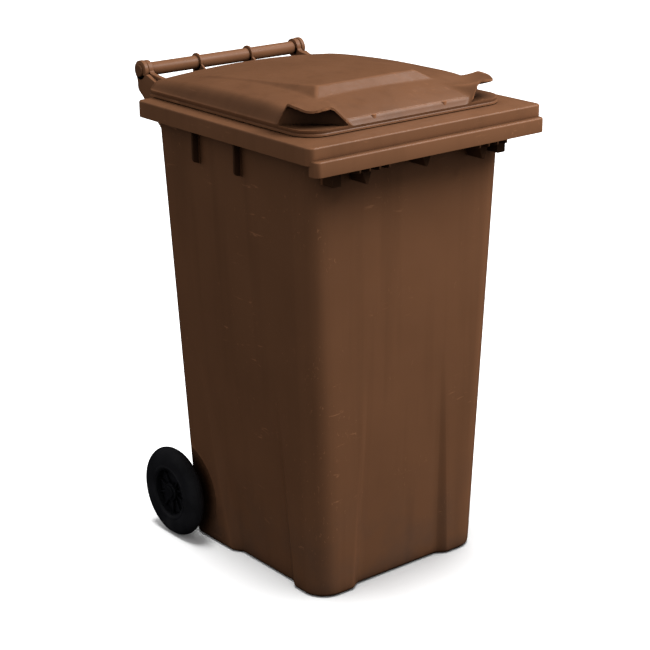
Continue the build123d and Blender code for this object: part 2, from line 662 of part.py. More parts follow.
save(make_axle(), "axle")
wheel_pieces = {
    "tyre": make_tyre(),
    "wheel_rim": make_wheel_rim(),
    "hub_cap": make_hub_cap(),
    "latch_pin": make_latch_pin(),
    "latch_spring": make_latch_spring(),
}
for side, hand in ((-1, "left"), (1, "right")):
    for kind, piece in wheel_pieces.items():
        save_solid(on_axle(piece, side), f"{kind}_{hand}")
    near, far = sorted((side * (ARCH_X + 0.4), side * (WHEEL_OUTER - HUB_WIDTH + 1.6)))
    save_solid(ring(AXLE_RADIUS + RUNNING_GAP, 15.0, near, far), f"axle_spacer_{hand}")
    save(make_hinge_pin(side), f"lid_hinge_pin_{hand}")

with BuildPart() as lid_buffers:
    for x, y, top in BUFFERS:
        with Locations((x, y, RIM_TOP + BUFFER_GAP), (-x, y, RIM_TOP + BUFFER_GAP)):
            Cylinder(
                BUFFER_RADIUS, BOSS_BOTTOM - RIM_TOP - BUFFER_GAP,
                align=(Align.CENTER, Align.CENTER, Align.MIN),
            )
            Cylinder(
                STEM_RADIUS, STEM_TOP - RIM_TOP - BUFFER_GAP,
                align=(Align.CENTER, Align.CENTER, Align.MIN),
            )
save(lid_buffers, "lid_buffers")

with BuildPart() as transponder:
    with Locations((CHIP_X, CHIP_Y, CHIP_CEILING)):
        Cylinder(TRANSPONDER_RADIUS, TRANSPONDER_HEIGHT, align=(Align.CENTER, Align.CENTER, Align.MAX))
save(transponder, "transponder")

with BuildPart() as chip_plug:
    with Locations((CHIP_X, CHIP_Y, CHIP_CEILING - TRANSPONDER_HEIGHT)):
        Cylinder(
            CHIP_BORE_RADIUS - RUNNING_GAP, CHIP_CEILING - TRANSPONDER_HEIGHT - CHIP_BOTTOM,
            align=(Align.CENTER, Align.CENTER, Align.MAX),
        )
    with Locations((CHIP_X, CHIP_Y, CHIP_BOTTOM)):
        Cylinder(PLUG_HEAD_RADIUS, PLUG_HEAD_HEIGHT, align=(Align.CENTER, Align.CENTER, Align.MAX))
save(chip_plug, "chip_plug")
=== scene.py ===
from math import cos, pi, radians, sin

import bmesh
import bpy
import numpy as np
from mathutils import Matrix, Vector


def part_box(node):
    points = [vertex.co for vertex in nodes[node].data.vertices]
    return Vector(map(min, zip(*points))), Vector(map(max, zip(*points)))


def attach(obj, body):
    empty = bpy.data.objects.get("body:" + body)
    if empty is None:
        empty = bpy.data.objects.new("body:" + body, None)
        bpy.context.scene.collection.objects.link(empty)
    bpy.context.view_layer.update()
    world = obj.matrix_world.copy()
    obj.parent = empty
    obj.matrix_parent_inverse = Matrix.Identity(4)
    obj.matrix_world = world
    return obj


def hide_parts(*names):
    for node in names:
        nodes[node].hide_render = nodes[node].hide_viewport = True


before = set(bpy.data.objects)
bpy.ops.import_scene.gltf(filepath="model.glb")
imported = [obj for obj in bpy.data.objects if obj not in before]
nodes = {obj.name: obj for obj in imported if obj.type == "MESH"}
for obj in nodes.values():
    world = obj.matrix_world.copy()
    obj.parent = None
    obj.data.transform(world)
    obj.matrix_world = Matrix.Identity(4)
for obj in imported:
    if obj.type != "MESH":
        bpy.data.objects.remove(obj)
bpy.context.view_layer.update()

# Shapes are worked out in millimetres and written in metres
MM = 0.001
SIDES = (("left", -1), ("right", 1))


def extent(node):
    """A CAD node's lowest and highest corners in millimetres."""
    low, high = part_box(node)
    return low / MM, high / MM


# ------------------------------
# Sizes: some come from the frame, and the rest are the moulding's own. A panel's pairs are its
# values at the foot and at PANEL_TOP.
container_low, container_high = extent("container")
lid_low, lid_high = extent("lid")
pin_low, pin_high = extent("lid_hinge_pin_right")
tyre_low, tyre_high = extent("tyre_right")
axle_low, axle_high = extent("axle")

WALL = 4.0
HALF_WIDTH = container_high.x
LEDGE_FRONT, RIM_TOP = container_low.y, 974.0
HINGE_Y, HINGE_Z = (pin_low.y + pin_high.y) / 2, (pin_low.z + pin_high.z) / 2
AXLE_Y, AXLE_Z = (axle_low.y + axle_high.y) / 2, (axle_low.z + axle_high.z) / 2
AXLE_RADIUS = (axle_high.z - axle_low.z) / 2

FOOT_HALF, FOOT_FRONT, FOOT_BACK = 220.0, -266.0, 190.0
HEAD_HALF, HEAD_FRONT, HEAD_BACK = 264.5, -286.2, 216.3
HEAD_Z = 971.0
FRONT_CORNER, BACK_CORNER = 52.0, 36.0
FOOT_FILLET, FOOT_RING, FLOOR = 10.0, 28.0, 16.0

PANEL_TOP, PANEL_DEPTH, PANEL_SLOPE = 480.0, 13.5, (24.0, 11.0)
FRONT_PANEL = (132.0, 108.0)
SIDE_PANEL_FRONT = (-182.0, -158.0)
SIDE_PANEL_BACK = (40.0, 124.0)

RIM_PLATE, RIM_SKIRT = RIM_TOP - WALL, 940.0
RIM_FRONT, RIM_BACK, RIM_CORNER = -345.5, 224.0, 16.0
OPENING_HALF, OPENING_FRONT, OPENING_BACK = 246.0, -268.0, 204.0
MOUTH_CORNERS, MOUTH_EDGE, MOUTH_DEPTH = (44.0, 32.0), 2.0, 14.0
TOP_ROUND = 3.5
SKIRT_EDGE = ((2.0, WALL), (0.4, WALL - 0.6), (0.0, WALL / 2), (0.4, 0.6), (2.0, 0.0))

LEDGE_HALF, LEDGE_TOP, LEDGE_BOTTOM, LEDGE_CORNER = 292.0, 950.0, 920.0, 16.0
LEDGE_NECK, LEDGE_STEP = 240.0, -335.0
UNDER_TOP, COMB_BACK = LEDGE_TOP - 1.0, -282.5
GUIDE_FRONT, GUIDES = -332.0, ((-150.0, 26.0, 873.0), (0.0, 20.0, 883.0), (150.0, 26.0, 873.0))
TEETH, FIRST_TOOTH, TOOTH_PITCH, TOOTH_WIDTH = 4, 116.0, 24.0, 4.0
BLOCK_X, BLOCK_WIDTH, BLOCK_LOW, BLOCK_FRONT, BLOCK_BACK = 212.0, 22.0, 883.0, -318.0, -280.5
RIB_PLACES, RIB_WIDTH, RIB_TOP = (55.0, -85.0), 5.0, 972.0

ARCH_RADIUS, ARCH_X, ARCH_ROUND = 112.0, 222.0, 8.0
NOTCH_HALF, NOTCH_FRONT, NOTCH_TOP, NOTCH_ROUND = 176.0, 158.0, 138.0, 14.0
AXLE_PLATES, PLATE_WIDTH = (-182.0, -136.0, -66.0, 60.0, 130.0, 176.0), 6.0

BAR_RADIUS, BAR_HALF = 14.3, 191.0
COLLAR_X, COLLAR_RADIUS, COLLAR_WIDTH = 68.0, 19.5, 5.0
EAR_RADIUS, EAR_INNER, EAR_OUTER = container_high.y - HINGE_Y, 204.0, 214.0
EYE_RADIUS, EYE_INNER, EYE_OUTER = 20.0, 191.6, 203.4
BORE, BORE_END = 8.1, 150.0
BACK_WALL, WEB_LOW, WEB_TOP = HEAD_BACK - WALL, 850.0, 966.0

LID_HALF, LID_FRONT, LID_BACK = lid_high.x, lid_low.y, 256.0
LID_CORNER_FRONT, LID_CORNER_BACK = 50.0, 34.0
LID_BOTTOM, LID_LIP, LID_WALL = lid_low.z, 988.0, 3.6

TYRE_INNER, TYRE_OUTER = tyre_low.x, tyre_high.x
WHEEL_RADIUS = (tyre_high.z - tyre_low.z) / 2
RIM_SEAT, SPOKES, CAP_SEAT = 53.0, 10, 14.0
HUB_WIDTH, LATCH_X, LATCH_BORE = 52.0, 238.0, 4.25
TREAD_EDGE, TREAD_CROWN, GROOVE = 11.0, 13.0, 1.2


# ------------------------------
# Shape tools
class Shape:
    """Closed surfaces gathered into one mesh, in millimetres."""

    def __init__(self):
        self.points, self.faces = [], []

    def add(self, points, faces):
        start = len(self.points)
        self.points.extend(tuple(p) for p in points)
        self.faces.extend([start + i for i in face] for face in faces)
        return self

    def loft(self, rings, caps=True, closed=False):
        """Joins rings of as many points each, and caps both ends or, if closed, joins them."""
        count, last = len(rings[0]), len(rings) - 1
        faces = []
        for row in range(len(rings) if closed else last):
            a, b = row * count, (row + 1) % len(rings) * count
            for i in range(count):
                j = (i + 1) % count
                faces.append([a + i, a + j, b + j, b + i])
        if caps and not closed:
            faces.append(list(range(count))[::-1])
            faces.append([last * count + i for i in range(count)])
        return self.add([p for ring in rings for p in ring], faces)

    def lathe(self, profile, centre=(0.0, AXLE_Y, AXLE_Z), segments=96, side=1):
        """Turns a closed profile of (radius, x) points about the X axis through centre."""
        cx, cy, cz = centre
        rings = []
        for radius, x in profile:
            at = cx + side * x
            rings.append([(at, cy + radius * cos(t), cz + radius * sin(t)) for t in circle(segments)])
        return self.loft(rings, closed=True)

    def prism(self, outline, low, high, axis, edge=1.0):
        """An outline drawn across one axis and extruded along it, with rounded edges."""
        rings = []
        for end, inward in ((low, 1), (high, -1)):
            for bend in quarter(3)[::inward]:
                ring = inset(outline, edge * (1 - sin(bend)))
                rings.append([place(p, end + inward * edge * (1 - cos(bend)), axis) for p in ring])
        return self.loft(rings)

    def object(self, name):
        """A Blender object of these surfaces, not yet a finished piece."""
        mesh = bpy.data.meshes.new(name)
        mesh.from_pydata([Vector(p) * MM for p in self.points], [], self.faces)
        work = bmesh.new()
        work.from_mesh(mesh)
        bmesh.ops.remove_doubles(work, verts=work.verts, dist=1e-6)
        bmesh.ops.recalc_face_normals(work, faces=work.faces)
        work.to_mesh(mesh)
        work.free()
        return add_object(name, mesh)


def add_object(name, data):
    """Puts an object with this data into the scene."""
    thing = bpy.data.objects.new(name, data)
    bpy.context.scene.collection.objects.link(thing)
    return thing


def finish_piece(thing, body, material, crease=38.0):
    """Smooths a piece but for its sharp edges, gives it its material, and lets it ride on its body."""
    mesh = thing.data
    mesh.shade_smooth()
    mesh.set_sharp_from_angle(angle=radians(crease))
    mesh.materials.clear()
    mesh.materials.append(material)
    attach(thing, body)


def place(point, height, axis):
    """Puts a point of an outline drawn across the X or Y axis at a height along that axis."""
    a, b = point
    return (height, a, b) if axis == "x" else (a, height, b)


def inset(outline, distance):
    """Moves a closed outline of (a, b) points inwards."""
    if abs(distance) < 1e-9:
        return list(outline)
    points = np.array(outline, float)
    before, after = np.roll(points, 1, axis=0), np.roll(points, -1, axis=0)
    area = np.sum(points[:, 0] * after[:, 1] - after[:, 0] * points[:, 1])
    turn = 1.0 if area > 0 else -1.0

    def normal(edge):
        edge = edge / np.linalg.norm(edge, axis=1, keepdims=True)
        return turn * np.stack([-edge[:, 1], edge[:, 0]], axis=1)

    n1, n2 = normal(points - before), normal(after - points)
    middle = n1 + n2
    share = np.maximum(np.sum(middle * n1, axis=1, keepdims=True), 0.5)
    return [tuple(p) for p in points + middle * distance / share]


def rounded(corners, radius, steps=5):
    """A polygon's outline with its corners rounded by arcs."""
    out = []
    radii = radius if hasattr(radius, "__len__") else [radius] * len(corners)
    for i, corner in enumerate(corners):
        here = np.array(corner, float)
        back = np.array(corners[i - 1], float) - here
        ahead = np.array(corners[(i + 1) % len(corners)], float) - here
        room = 0.48 * min(np.linalg.norm(back), np.linalg.norm(ahead))
        back, ahead = back / np.linalg.norm(back), ahead / np.linalg.norm(ahead)
        half = np.arccos(np.clip(back @ ahead, -1, 1)) / 2
        size = min(radii[i], room * np.tan(half))
        middle = (back + ahead) / np.linalg.norm(back + ahead)
        centre = here + middle * size / np.sin(half)
        start, end = here + back * size / np.tan(half) - centre, here + ahead * size / np.tan(half) - centre
        sweep = pi - 2 * half
        for k in range(steps + 1):
            t = k / steps
            out.append(tuple(centre + (start * sin((1 - t) * sweep) + end * sin(t * sweep)) / sin(sweep)))
    return out


def circle(count):
    """Angles once round."""
    return [2 * pi * k / count for k in range(count)]


def quarter(steps):
    """Angles from 0 to a right angle."""
    return [k * pi / 2 / steps for k in range(steps + 1)]


def level_circle(x, y, z, radius, count):
    return [(x + radius * cos(t), y + radius * sin(t), z) for t in circle(count)]


def between(pair, share):
    """The value a share of the way from one to another."""
    low, high = pair
    return low + (high - low) * share


def soft_step(t):
    """0 up to 0, 1 from 1, and a smooth rise between."""
    t = np.clip(t, 0.0, 1.0)
    return t * t * (3 - 2 * t)


def cut(target, cutters):
    """Subtracts closed objects from a closed object."""
    for cutter in cutters:
        change = target.modifiers.new("cut", "BOOLEAN")
        change.operation = "DIFFERENCE"
        change.solver = "EXACT"
        change.object = cutter
    bpy.context.view_layer.update()
    result = bpy.data.meshes.new_from_object(target.evaluated_get(bpy.context.evaluated_depsgraph_get()))
    target.modifiers.clear()
    target.data = result
    for cutter in cutters:
        bpy.data.objects.remove(cutter)


def join(target, extra):
    """Adds an object's mesh to the target's, and removes the object."""
    joined = bmesh.new()
    joined.from_mesh(target.data)
    joined.from_mesh(extra.data)
    joined.to_mesh(target.data)
    joined.free()
    bpy.data.objects.remove(extra)


# ------------------------------
# Materials. The streaks and scuffs are noise squeezed by these scales along X, Y and Z.
STREAK_STRETCH = (30.0, 30.0, 1.6)
SCUFF_STRETCHES = ((240.0, 16.0, 90.0), (20.0, 260.0, 120.0))
# How high the dust reaches, how far the painted crevice shade looks, and where along Y the painted shadow
# under the side rims begins, in millimetres
DUST_TOP, CREVICE_SHADE_REACH, UNDER_RIM_SHADE_START = 240.0, 80.0, (-210.0, -200.0)


def new_material(name):
    material = bpy.data.materials.new(name)
    material.use_nodes = True
    tree = material.node_tree
    return material, tree, tree.nodes["Principled BSDF"]


def texture(tree, kind, scale, detail=2.0, stretch=None, **more):
    """A texture node placed by the object's own coordinates."""
    where = tree.nodes.new("ShaderNodeTexCoord").outputs["Object"]
    if stretch:
        mapping = tree.nodes.new("ShaderNodeMapping")
        mapping.inputs["Scale"].default_value = stretch
        tree.links.new(where, mapping.inputs["Vector"])
        where = mapping.outputs["Vector"]
    made = tree.nodes.new(kind)
    made.inputs["Scale"].default_value = scale
    if "Detail" in made.inputs:
        made.inputs["Detail"].default_value = detail
    for key, value in more.items():
        made.inputs[key].default_value = value
    tree.links.new(where, made.inputs["Vector"])
    return made


def noise(tree, scale, detail, stretch=None, **more):
    return texture(tree, "ShaderNodeTexNoise", scale, detail, stretch, **more).outputs["Fac"]


def axes(tree, kind):
    """The X, Y and Z of a kind of texture coordinates."""
    split = tree.nodes.new("ShaderNodeSeparateXYZ")
    tree.links.new(tree.nodes.new("ShaderNodeTexCoord").outputs[kind], split.inputs["Vector"])
    return split.outputs


def mixed(tree, share, colour, other):
    """A colour moved towards another constant colour by a share."""
    made = tree.nodes.new("ShaderNodeMix")
    made.data_type = "RGBA"
    tree.links.new(share, made.inputs[0])
    tree.links.new(colour, made.inputs[6])
    made.inputs[7].default_value = other
    return made.outputs[2]


def times(tree, first, second):
    """The product of two values."""
    made = tree.nodes.new("ShaderNodeMath")
    made.operation = "MULTIPLY"
    tree.links.new(first, made.inputs[0])
    tree.links.new(second, made.inputs[1])
    return made.outputs[0]


def ramp(tree, source, stops):
    """A colour ramp through (position, colour) stops."""
    made = tree.nodes.new("ShaderNodeValToRGB")
    made.color_ramp.elements[0].position, made.color_ramp.elements[0].color = stops[0]
    made.color_ramp.elements[1].position, made.color_ramp.elements[1].color = stops[-1]
    for position, colour in stops[1:-1]:
        made.color_ramp.elements.new(position).color = colour
    tree.links.new(source, made.inputs["Fac"])
    return made.outputs["Color"]


def spread(tree, source, low, high, bottom=0.3, top=0.7):
    """Maps a value from bottom and top to low and high, and no further."""
    made = tree.nodes.new("ShaderNodeMapRange")
    for key, value in (("From Min", bottom), ("From Max", top), ("To Min", low), ("To Max", high)):
        made.inputs[key].default_value = value
    tree.links.new(source, made.inputs["Value"])
    return made.outputs["Result"]


def rises(tree, source, bottom, top):
    """0 below one place and 1 above another, both in millimetres."""
    return spread(tree, source, 0.0, 1.0, bottom * MM, top * MM)


def falls(tree, source, bottom, top):
    return spread(tree, source, 1.0, 0.0, bottom * MM, top * MM)


def bumps(tree, shader, layers):
    """Stacks bump layers of (height output, strength, distance in metres)."""
    last = None
    for height, strength, distance in layers:
        bump = tree.nodes.new("ShaderNodeBump")
        bump.inputs["Strength"].default_value = strength
        bump.inputs["Distance"].default_value = distance
        tree.links.new(height, bump.inputs["Height"])
        if last:
            tree.links.new(last, bump.inputs["Normal"])
        last = bump.outputs["Normal"]
    tree.links.new(last, shader.inputs["Normal"])


def shade(colour, factor):
    """A colour made lighter or darker, with its alpha."""
    return tuple(c * factor for c in colour[:3]) + (1.0,)


def wear_and_edge_highlight(tree, look, colour, wear_and_painted_light):
    """Rain streaks down the sides, pale scuffs in two directions, and pale edges that are partly rubbed wear
    and partly a painted highlight.
    """
    streaks = spread(tree, noise(tree, 1.0, 4.0, STREAK_STRETCH), 0.0, 0.3 * wear_and_painted_light, 0.5, 0.72)
    look = mixed(tree, streaks, look, shade(colour, 0.66))
    for stretch in SCUFF_STRETCHES:
        marks = spread(tree, noise(tree, 1.0, 6.0, stretch, Distortion=0.8), 0.0, 0.5 * wear_and_painted_light, 0.66, 0.72)
        patches = spread(tree, noise(tree, 7.0, 2.0), 0.0, 1.0, 0.5, 0.62)
        look = mixed(tree, times(tree, marks, patches), look, shade(colour, 2.3))
    # Pale sharp edges from pointiness: partly rubbed wear, partly a painted highlight for light catching the
    # edges
    edge = tree.nodes.new("ShaderNodeNewGeometry").outputs["Pointiness"]
    return mixed(tree, spread(tree, edge, 0.0, 0.55 * wear_and_painted_light, 0.51, 0.58), look, shade(colour, 2.6))


def dust_and_painted_shade(tree, look, colour, wear_and_painted_light):
    """Dust near the ground, then painted shade: crevices darkened by ambient occlusion, and a painted shadow
    under the ledge and under the side rims.
    """
    x, y, z = axes(tree, "Object")
    dust = spread(tree, noise(tree, 14.0, 8.0), 0.05, 0.5 * wear_and_painted_light, 0.4, 0.7)
    dusty = (colour[0] * 0.45 + 0.01, colour[1] * 0.6 + 0.01, colour[2] * 0.8 + 0.012, 1.0)
    look = mixed(tree, times(tree, falls(tree, z, 0.0, DUST_TOP), dust), look, dusty)

    # Painted shade: crevices and corners darkened by ambient occlusion, for the shade that falls in them
    near = tree.nodes.new("ShaderNodeAmbientOcclusion")
    near.samples = 6
    near.inputs["Distance"].default_value = CREVICE_SHADE_REACH * MM
    look = mixed(tree, spread(tree, near.outputs["AO"], 0.94, 0.0, 0.2, 0.72), look, shade(colour, 0.07))

    # Painted shadow: nearly black under the ledge and under the side rims, where their overhang shades the
    # guides, teeth and ribs
    wide = tree.nodes.new("ShaderNodeMath")
    wide.operation = "ABSOLUTE"
    tree.links.new(x, wide.inputs[0])
    in_front = falls(tree, y, HEAD_FRONT - 4.8, HEAD_FRONT - 0.8)
    under_ledge = times(tree, in_front, falls(tree, z, LEDGE_BOTTOM - 2.0, LEDGE_BOTTOM - 0.5))
    outwards = rises(tree, wide.outputs[0], HEAD_HALF, HEAD_HALF + 1.0)
    beside = times(tree, outwards, rises(tree, y, *UNDER_RIM_SHADE_START))
    under_rim = times(tree, beside, falls(tree, z, RIM_SKIRT - 2.0, RIM_SKIRT - 0.5))
    for painted_shade in (under_ledge, under_rim):
        look = mixed(tree, spread(tree, painted_shade, 0.0, 0.8 * wear_and_painted_light, 0.0, 1.0), look, shade(colour, 0.1))
    return look


# wear scales the wear marks, the dust, the painted edge highlight and the painted shadow under the ledge and
# side rims
def moulded(name, colour, roughness=0.38, gloss=0.11, wear_and_painted_light=1.0):
    """Moulded polyethylene: drifting colour under wear, dust, painted edge highlights and painted shade,
    shallow sinks and a fine orange peel.
    """
    material, tree, shader = new_material(name)
    shader.inputs["Specular IOR Level"].default_value = gloss
    look = ramp(tree, noise(tree, 5.0, 3.0), (
        (0.3, shade(colour, 0.93)), (0.5, shade(colour, 1.0)), (0.7, shade(colour, 1.06)),
    ))
    look = dust_and_painted_shade(tree, wear_and_edge_highlight(tree, look, colour, wear_and_painted_light), colour, wear_and_painted_light)
    tree.links.new(look, shader.inputs["Base Color"])
    smear = noise(tree, 38.0, 5.0, Distortion=0.6)
    tree.links.new(spread(tree, smear, roughness - 0.05, roughness + 0.07), shader.inputs["Roughness"])
    bumps(tree, shader, ((noise(tree, 9.0, 2.0), 0.35, 0.0016), (noise(tree, 620.0, 2.0), 0.5, 0.00012)))
    return material


BROWN = (0.148, 0.066, 0.032)
brown = moulded("moulded_brown", BROWN)
brown_pin = moulded("pin_brown", shade(BROWN, 0.85), 0.45)
black = moulded("moulded_black", (0.011, 0.011, 0.013), 0.34, gloss=0.5, wear_and_painted_light=0.3)
grey = moulded("latch_grey", (0.32, 0.32, 0.33), 0.4, wear_and_painted_light=0.4)


def rubber(name, colour, roughness=0.62):
    """Rubber with a pale bloom and fine grit."""
    material, tree, shader = new_material(name)
    shader.inputs["Specular IOR Level"].default_value = 0.3
    bloom = noise(tree, 24.0, 6.0)
    look = ramp(tree, bloom, ((0.35, shade(colour, 0.85)), (0.65, shade(colour, 1.35))))
    tree.links.new(look, shader.inputs["Base Color"])
    tree.links.new(spread(tree, bloom, roughness - 0.08, roughness + 0.1), shader.inputs["Roughness"])
    bumps(tree, shader, ((bloom, 0.3, 0.0008), (noise(tree, 900.0, 3.0), 0.6, 0.00015)))
    return material


tyre_rubber = rubber("tyre_rubber", (0.0105, 0.0105, 0.0125))
soft_rubber = rubber("soft_rubber", (0.02, 0.02, 0.02), 0.7)


def metal(name, colour, roughness):
    """Plated steel with a spangle and a fine brushing."""
    material, tree, shader = new_material(name)
    shader.inputs["Metallic"].default_value = 1.0
    spangle = texture(tree, "ShaderNodeTexVoronoi", 160.0).outputs["Color"]
    look = ramp(tree, spangle, ((0.2, shade(colour, 0.86)), (0.8, shade(colour, 1.0))))
    tree.links.new(look, shader.inputs["Base Color"])
    brush = noise(tree, 500.0, 4.0)
    tree.links.new(spread(tree, brush, roughness - 0.08, roughness + 0.1), shader.inputs["Roughness"])
    bumps(tree, shader, ((brush, 0.3, 0.00008),))
    return material


zinc = metal("zinc_plate", (0.60, 0.61, 0.63), 0.34)
spring_wire = metal("spring_wire", (0.55, 0.55, 0.56), 0.25)

CAD_FINISH = {
    "axle": zinc, "axle_spacer": black, "lid_hinge_pin": brown_pin, "chip_plug": brown_pin,
    "transponder": black, "lid_buffers": soft_rubber, "hub_cap": black, "latch_pin": grey,
    "latch_spring": spring_wire, "tyre": tyre_rubber, "wheel_rim": black, "container": brown, "lid": brown,
}
for name, node in nodes.items():
    kind = name.rsplit("_left", 1)[0].rsplit("_right", 1)[0]
    node.data.materials.clear()
    node.data.materials.append(CAD_FINISH[kind])


# ------------------------------
# Body: one closed moulding, made from rings round it. The first line has a ring's counts.
PLAIN, SLOPE, FLAT, CORNER = 6, 8, 14, 8
WALL_LEVELS = list(range(20, 480, 20)) + [480, 500, 560, 640, 720, 800, 880, 940]


def spaced(stops, counts):
    """Positions from the first stop up to, but not including, the last."""
    out = []
    for low, high, count in zip(stops[:-1], stops[1:], counts):
        out += [low + (high - low) * k / count for k in range(count)]
    return out


def ring(half, front, back, front_corner, back_corner, z, depth=0.0):
    """A ring round a rectangle with rounded corners, recessed by depth inside the panels' outlines."""
    share = min(max(z / PANEL_TOP, 0.0), 1.0)
    front_half, slope = between(FRONT_PANEL, share), between(PANEL_SLOPE, share)
    side_front, side_back = between(SIDE_PANEL_FRONT, share), between(SIDE_PANEL_BACK, share)
    counts = (PLAIN, SLOPE, FLAT, SLOPE, PLAIN)

    def side_line(low, high, panel_low, panel_high):
        stops = (low, panel_low, panel_low + slope, panel_high - slope, panel_high, high)
        line = np.array(spaced(stops, counts) + [high])
        inside = np.minimum(line - panel_low, panel_high - line) / slope
        return line, depth * (0.65 * np.clip(inside, 0, 1) + 0.35 * soft_step(inside))

    points = []
    across, dip = side_line(-half + front_corner, half - front_corner, -front_half, front_half)
    points += [(x, front + d, z) for x, d in zip(across, dip)]

    def corner(cx, cy, radius, start):
        for k in range(1, CORNER):
            turn = start + pi / 2 * k / CORNER
            points.append((cx + radius * cos(turn), cy + radius * sin(turn), z))

    corner(half - front_corner, front + front_corner, front_corner, -pi / 2)
    along, dip = side_line(front + front_corner, back - back_corner, side_front, side_back)
    points += [(half - d, y, z) for y, d in zip(along, dip)]
    corner(half - back_corner, back - back_corner, back_corner, 0.0)
    count = sum(counts)
    low, high = -half + back_corner, half - back_corner
    points += [(high + (low - high) * k / count, back, z) for k in range(count + 1)]
    corner(-half + back_corner, back - back_corner, back_corner, pi / 2)
    points += [(-half + d, y, z) for y, d in zip(along[::-1], dip[::-1])]
    corner(-half + front_corner, front + front_corner, front_corner, pi)
    return points


def body_ring(z, inward):
    """The tapered body's ring at a height, moved in from its outside."""
    share = z / HEAD_Z
    half = between((FOOT_HALF, HEAD_HALF), share) - inward
    front = between((FOOT_FRONT, HEAD_FRONT), share) + inward
    back = between((FOOT_BACK, HEAD_BACK), share) - inward
    depth = PANEL_DEPTH * max(1 - z / PANEL_TOP, 0.0)
    return ring(half, front, back, max(FRONT_CORNER - inward, 4.0), max(BACK_CORNER - inward, 4.0), z, depth)


def rim_ring(z, inward):
    """The rim's ring at a height, moved in from its outside."""
    corner = max(RIM_CORNER - inward, 2.0)
    return ring(HALF_WIDTH - inward, RIM_FRONT + inward, RIM_BACK - inward, corner, corner, z)


def mouth_ring(z, outward):
    """The mouth's ring at a height, moved out from its narrowest."""
    corners = [corner + outward for corner in MOUTH_CORNERS]
    return ring(OPENING_HALF + outward, OPENING_FRONT - outward, OPENING_BACK + outward, *corners, z)


def skirt_edge(make_ring, bottom):
    """Rings round the rounded lower edge of a skirt, from inside to outside."""
    return [make_ring(bottom + lift, inward) for lift, inward in SKIRT_EDGE]


def top_edge(make_ring, top):
    """Rings round a rounded upper edge, from outside to inside."""
    return [make_ring(top - TOP_ROUND * (1 - sin(t)), TOP_ROUND * (1 - cos(t))) for t in quarter(5)]


def body_outside():
    """The body's outer form with its rim, closed across the mouth."""
    rings = [body_ring(FLOOR - WALL, FOOT_RING), body_ring(0.0, FOOT_RING)]
    rings += [body_ring(FOOT_FILLET * (1 - cos(t)), FOOT_FILLET * (1 - sin(t))) for t in quarter(5)]
    rings += [body_ring(level, 0.0) for level in WALL_LEVELS]
    rings += [body_ring(RIM_PLATE - 4.0, 0.0), body_ring(RIM_PLATE - 1.2, -1.2), body_ring(RIM_PLATE, -4.0)]
    rings += [rim_ring(RIM_PLATE, WALL + 4.0), rim_ring(RIM_PLATE - 4.0, WALL)]
    rings += skirt_edge(rim_ring, RIM_SKIRT) + top_edge(rim_ring, RIM_TOP)
    rings += [mouth_ring(RIM_TOP - MOUTH_EDGE * (1 - cos(t)), MOUTH_EDGE * (1 - sin(t))) for t in quarter(4)]
    rings.append(mouth_ring(RIM_PLATE - MOUTH_DEPTH, 0.0))
    return Shape().loft(rings)


def body_inside():
    """The hollow, from the floor to the underside of the rim."""
    rings = []
    for turn in quarter(5):
        rings.append(body_ring(FLOOR + FOOT_FILLET * (1 - cos(turn)), WALL + FOOT_FILLET * (1 - sin(turn))))
    rings += [body_ring(level, WALL) for level in WALL_LEVELS if level > FLOOR + FOOT_FILLET]
    rings.append(body_ring(RIM_PLATE, WALL))
    return Shape().loft(rings)


def arch_cutter(side, grow):
    """The shallow recess behind a wheel: a drum with a rounded inner end."""
    radius, end, soft = ARCH_RADIUS + grow, ARCH_X - grow, ARCH_ROUND + grow
    clear = HALF_WIDTH + 60.0
    profile = [(0.5, end)]
    profile += [(radius - soft * (1 - sin(t)), end + soft * (1 - cos(t))) for t in quarter(5)]
    profile += [(radius, clear), (0.5, clear)]
    return Shape().lathe(profile, segments=120, side=side).object("arch")


def notch_cutter(grow):
    """What the recess for the axle takes away, between the two corners of the foot."""
    front, top = NOTCH_FRONT - grow, NOTCH_TOP + grow
    below, behind = -60.0, 430.0
    corners = [(front, below), (front, top), (behind, top), (behind, below)]
    outline = rounded(corners, [1.0, NOTCH_ROUND, 1.0, 1.0], 7)
    return Shape().prism(outline, -NOTCH_HALF - grow, NOTCH_HALF + grow, "x").object("notch")


def make_shell():
    """The body's walls, floor and rim: the outer form with the hollow taken out of it."""
    outside, inside = body_outside().object("outside"), body_inside().object("inside")
    for thing, grow in ((outside, 0.0), (inside, WALL)):
        cut(thing, [arch_cutter(side, grow) for _, side in SIDES] + [notch_cutter(grow)])
    cut(outside, [inside])
    return outside


# ------------------------------
# Lifting ledge, its guides, and the ribs under the side rim
def add_ledge(shape):
    """The lifting ledge, hollow below, whose back end narrows into the body's front wall."""
    back = HEAD_FRONT + 2.5

    def ledge_ring(z, inward):
        near, far, front = LEDGE_NECK - inward, LEDGE_HALF - inward, LEDGE_FRONT + inward
        corner = max(LEDGE_CORNER - inward, 3.0)
        corners = [
            (-near, back), (-far, LEDGE_STEP), (-far, front), (far, front), (far, LEDGE_STEP), (near, back),
        ]
        outline = rounded(corners, [1.0, 6.0, corner, corner, 6.0, 1.0], 9)
        return [(x, y, z) for x, y in outline]

    rings = [ledge_ring(LEDGE_TOP - WALL, WALL)]
    shape.loft(rings + skirt_edge(ledge_ring, LEDGE_BOTTOM) + top_edge(ledge_ring, LEDGE_TOP))


def add_guide(shape, middle, width, low):
    """A bar under the ledge that ends in a point."""
    left, right, shoulder = middle - width / 2, middle + width / 2, LEDGE_BOTTOM - 8.0
    corners = [(left, UNDER_TOP), (right, UNDER_TOP), (right, shoulder), (middle, low), (left, shoulder)]
    shape.prism(rounded(corners, 4.0, 4), GUIDE_FRONT, COMB_BACK, "y", 1.2)


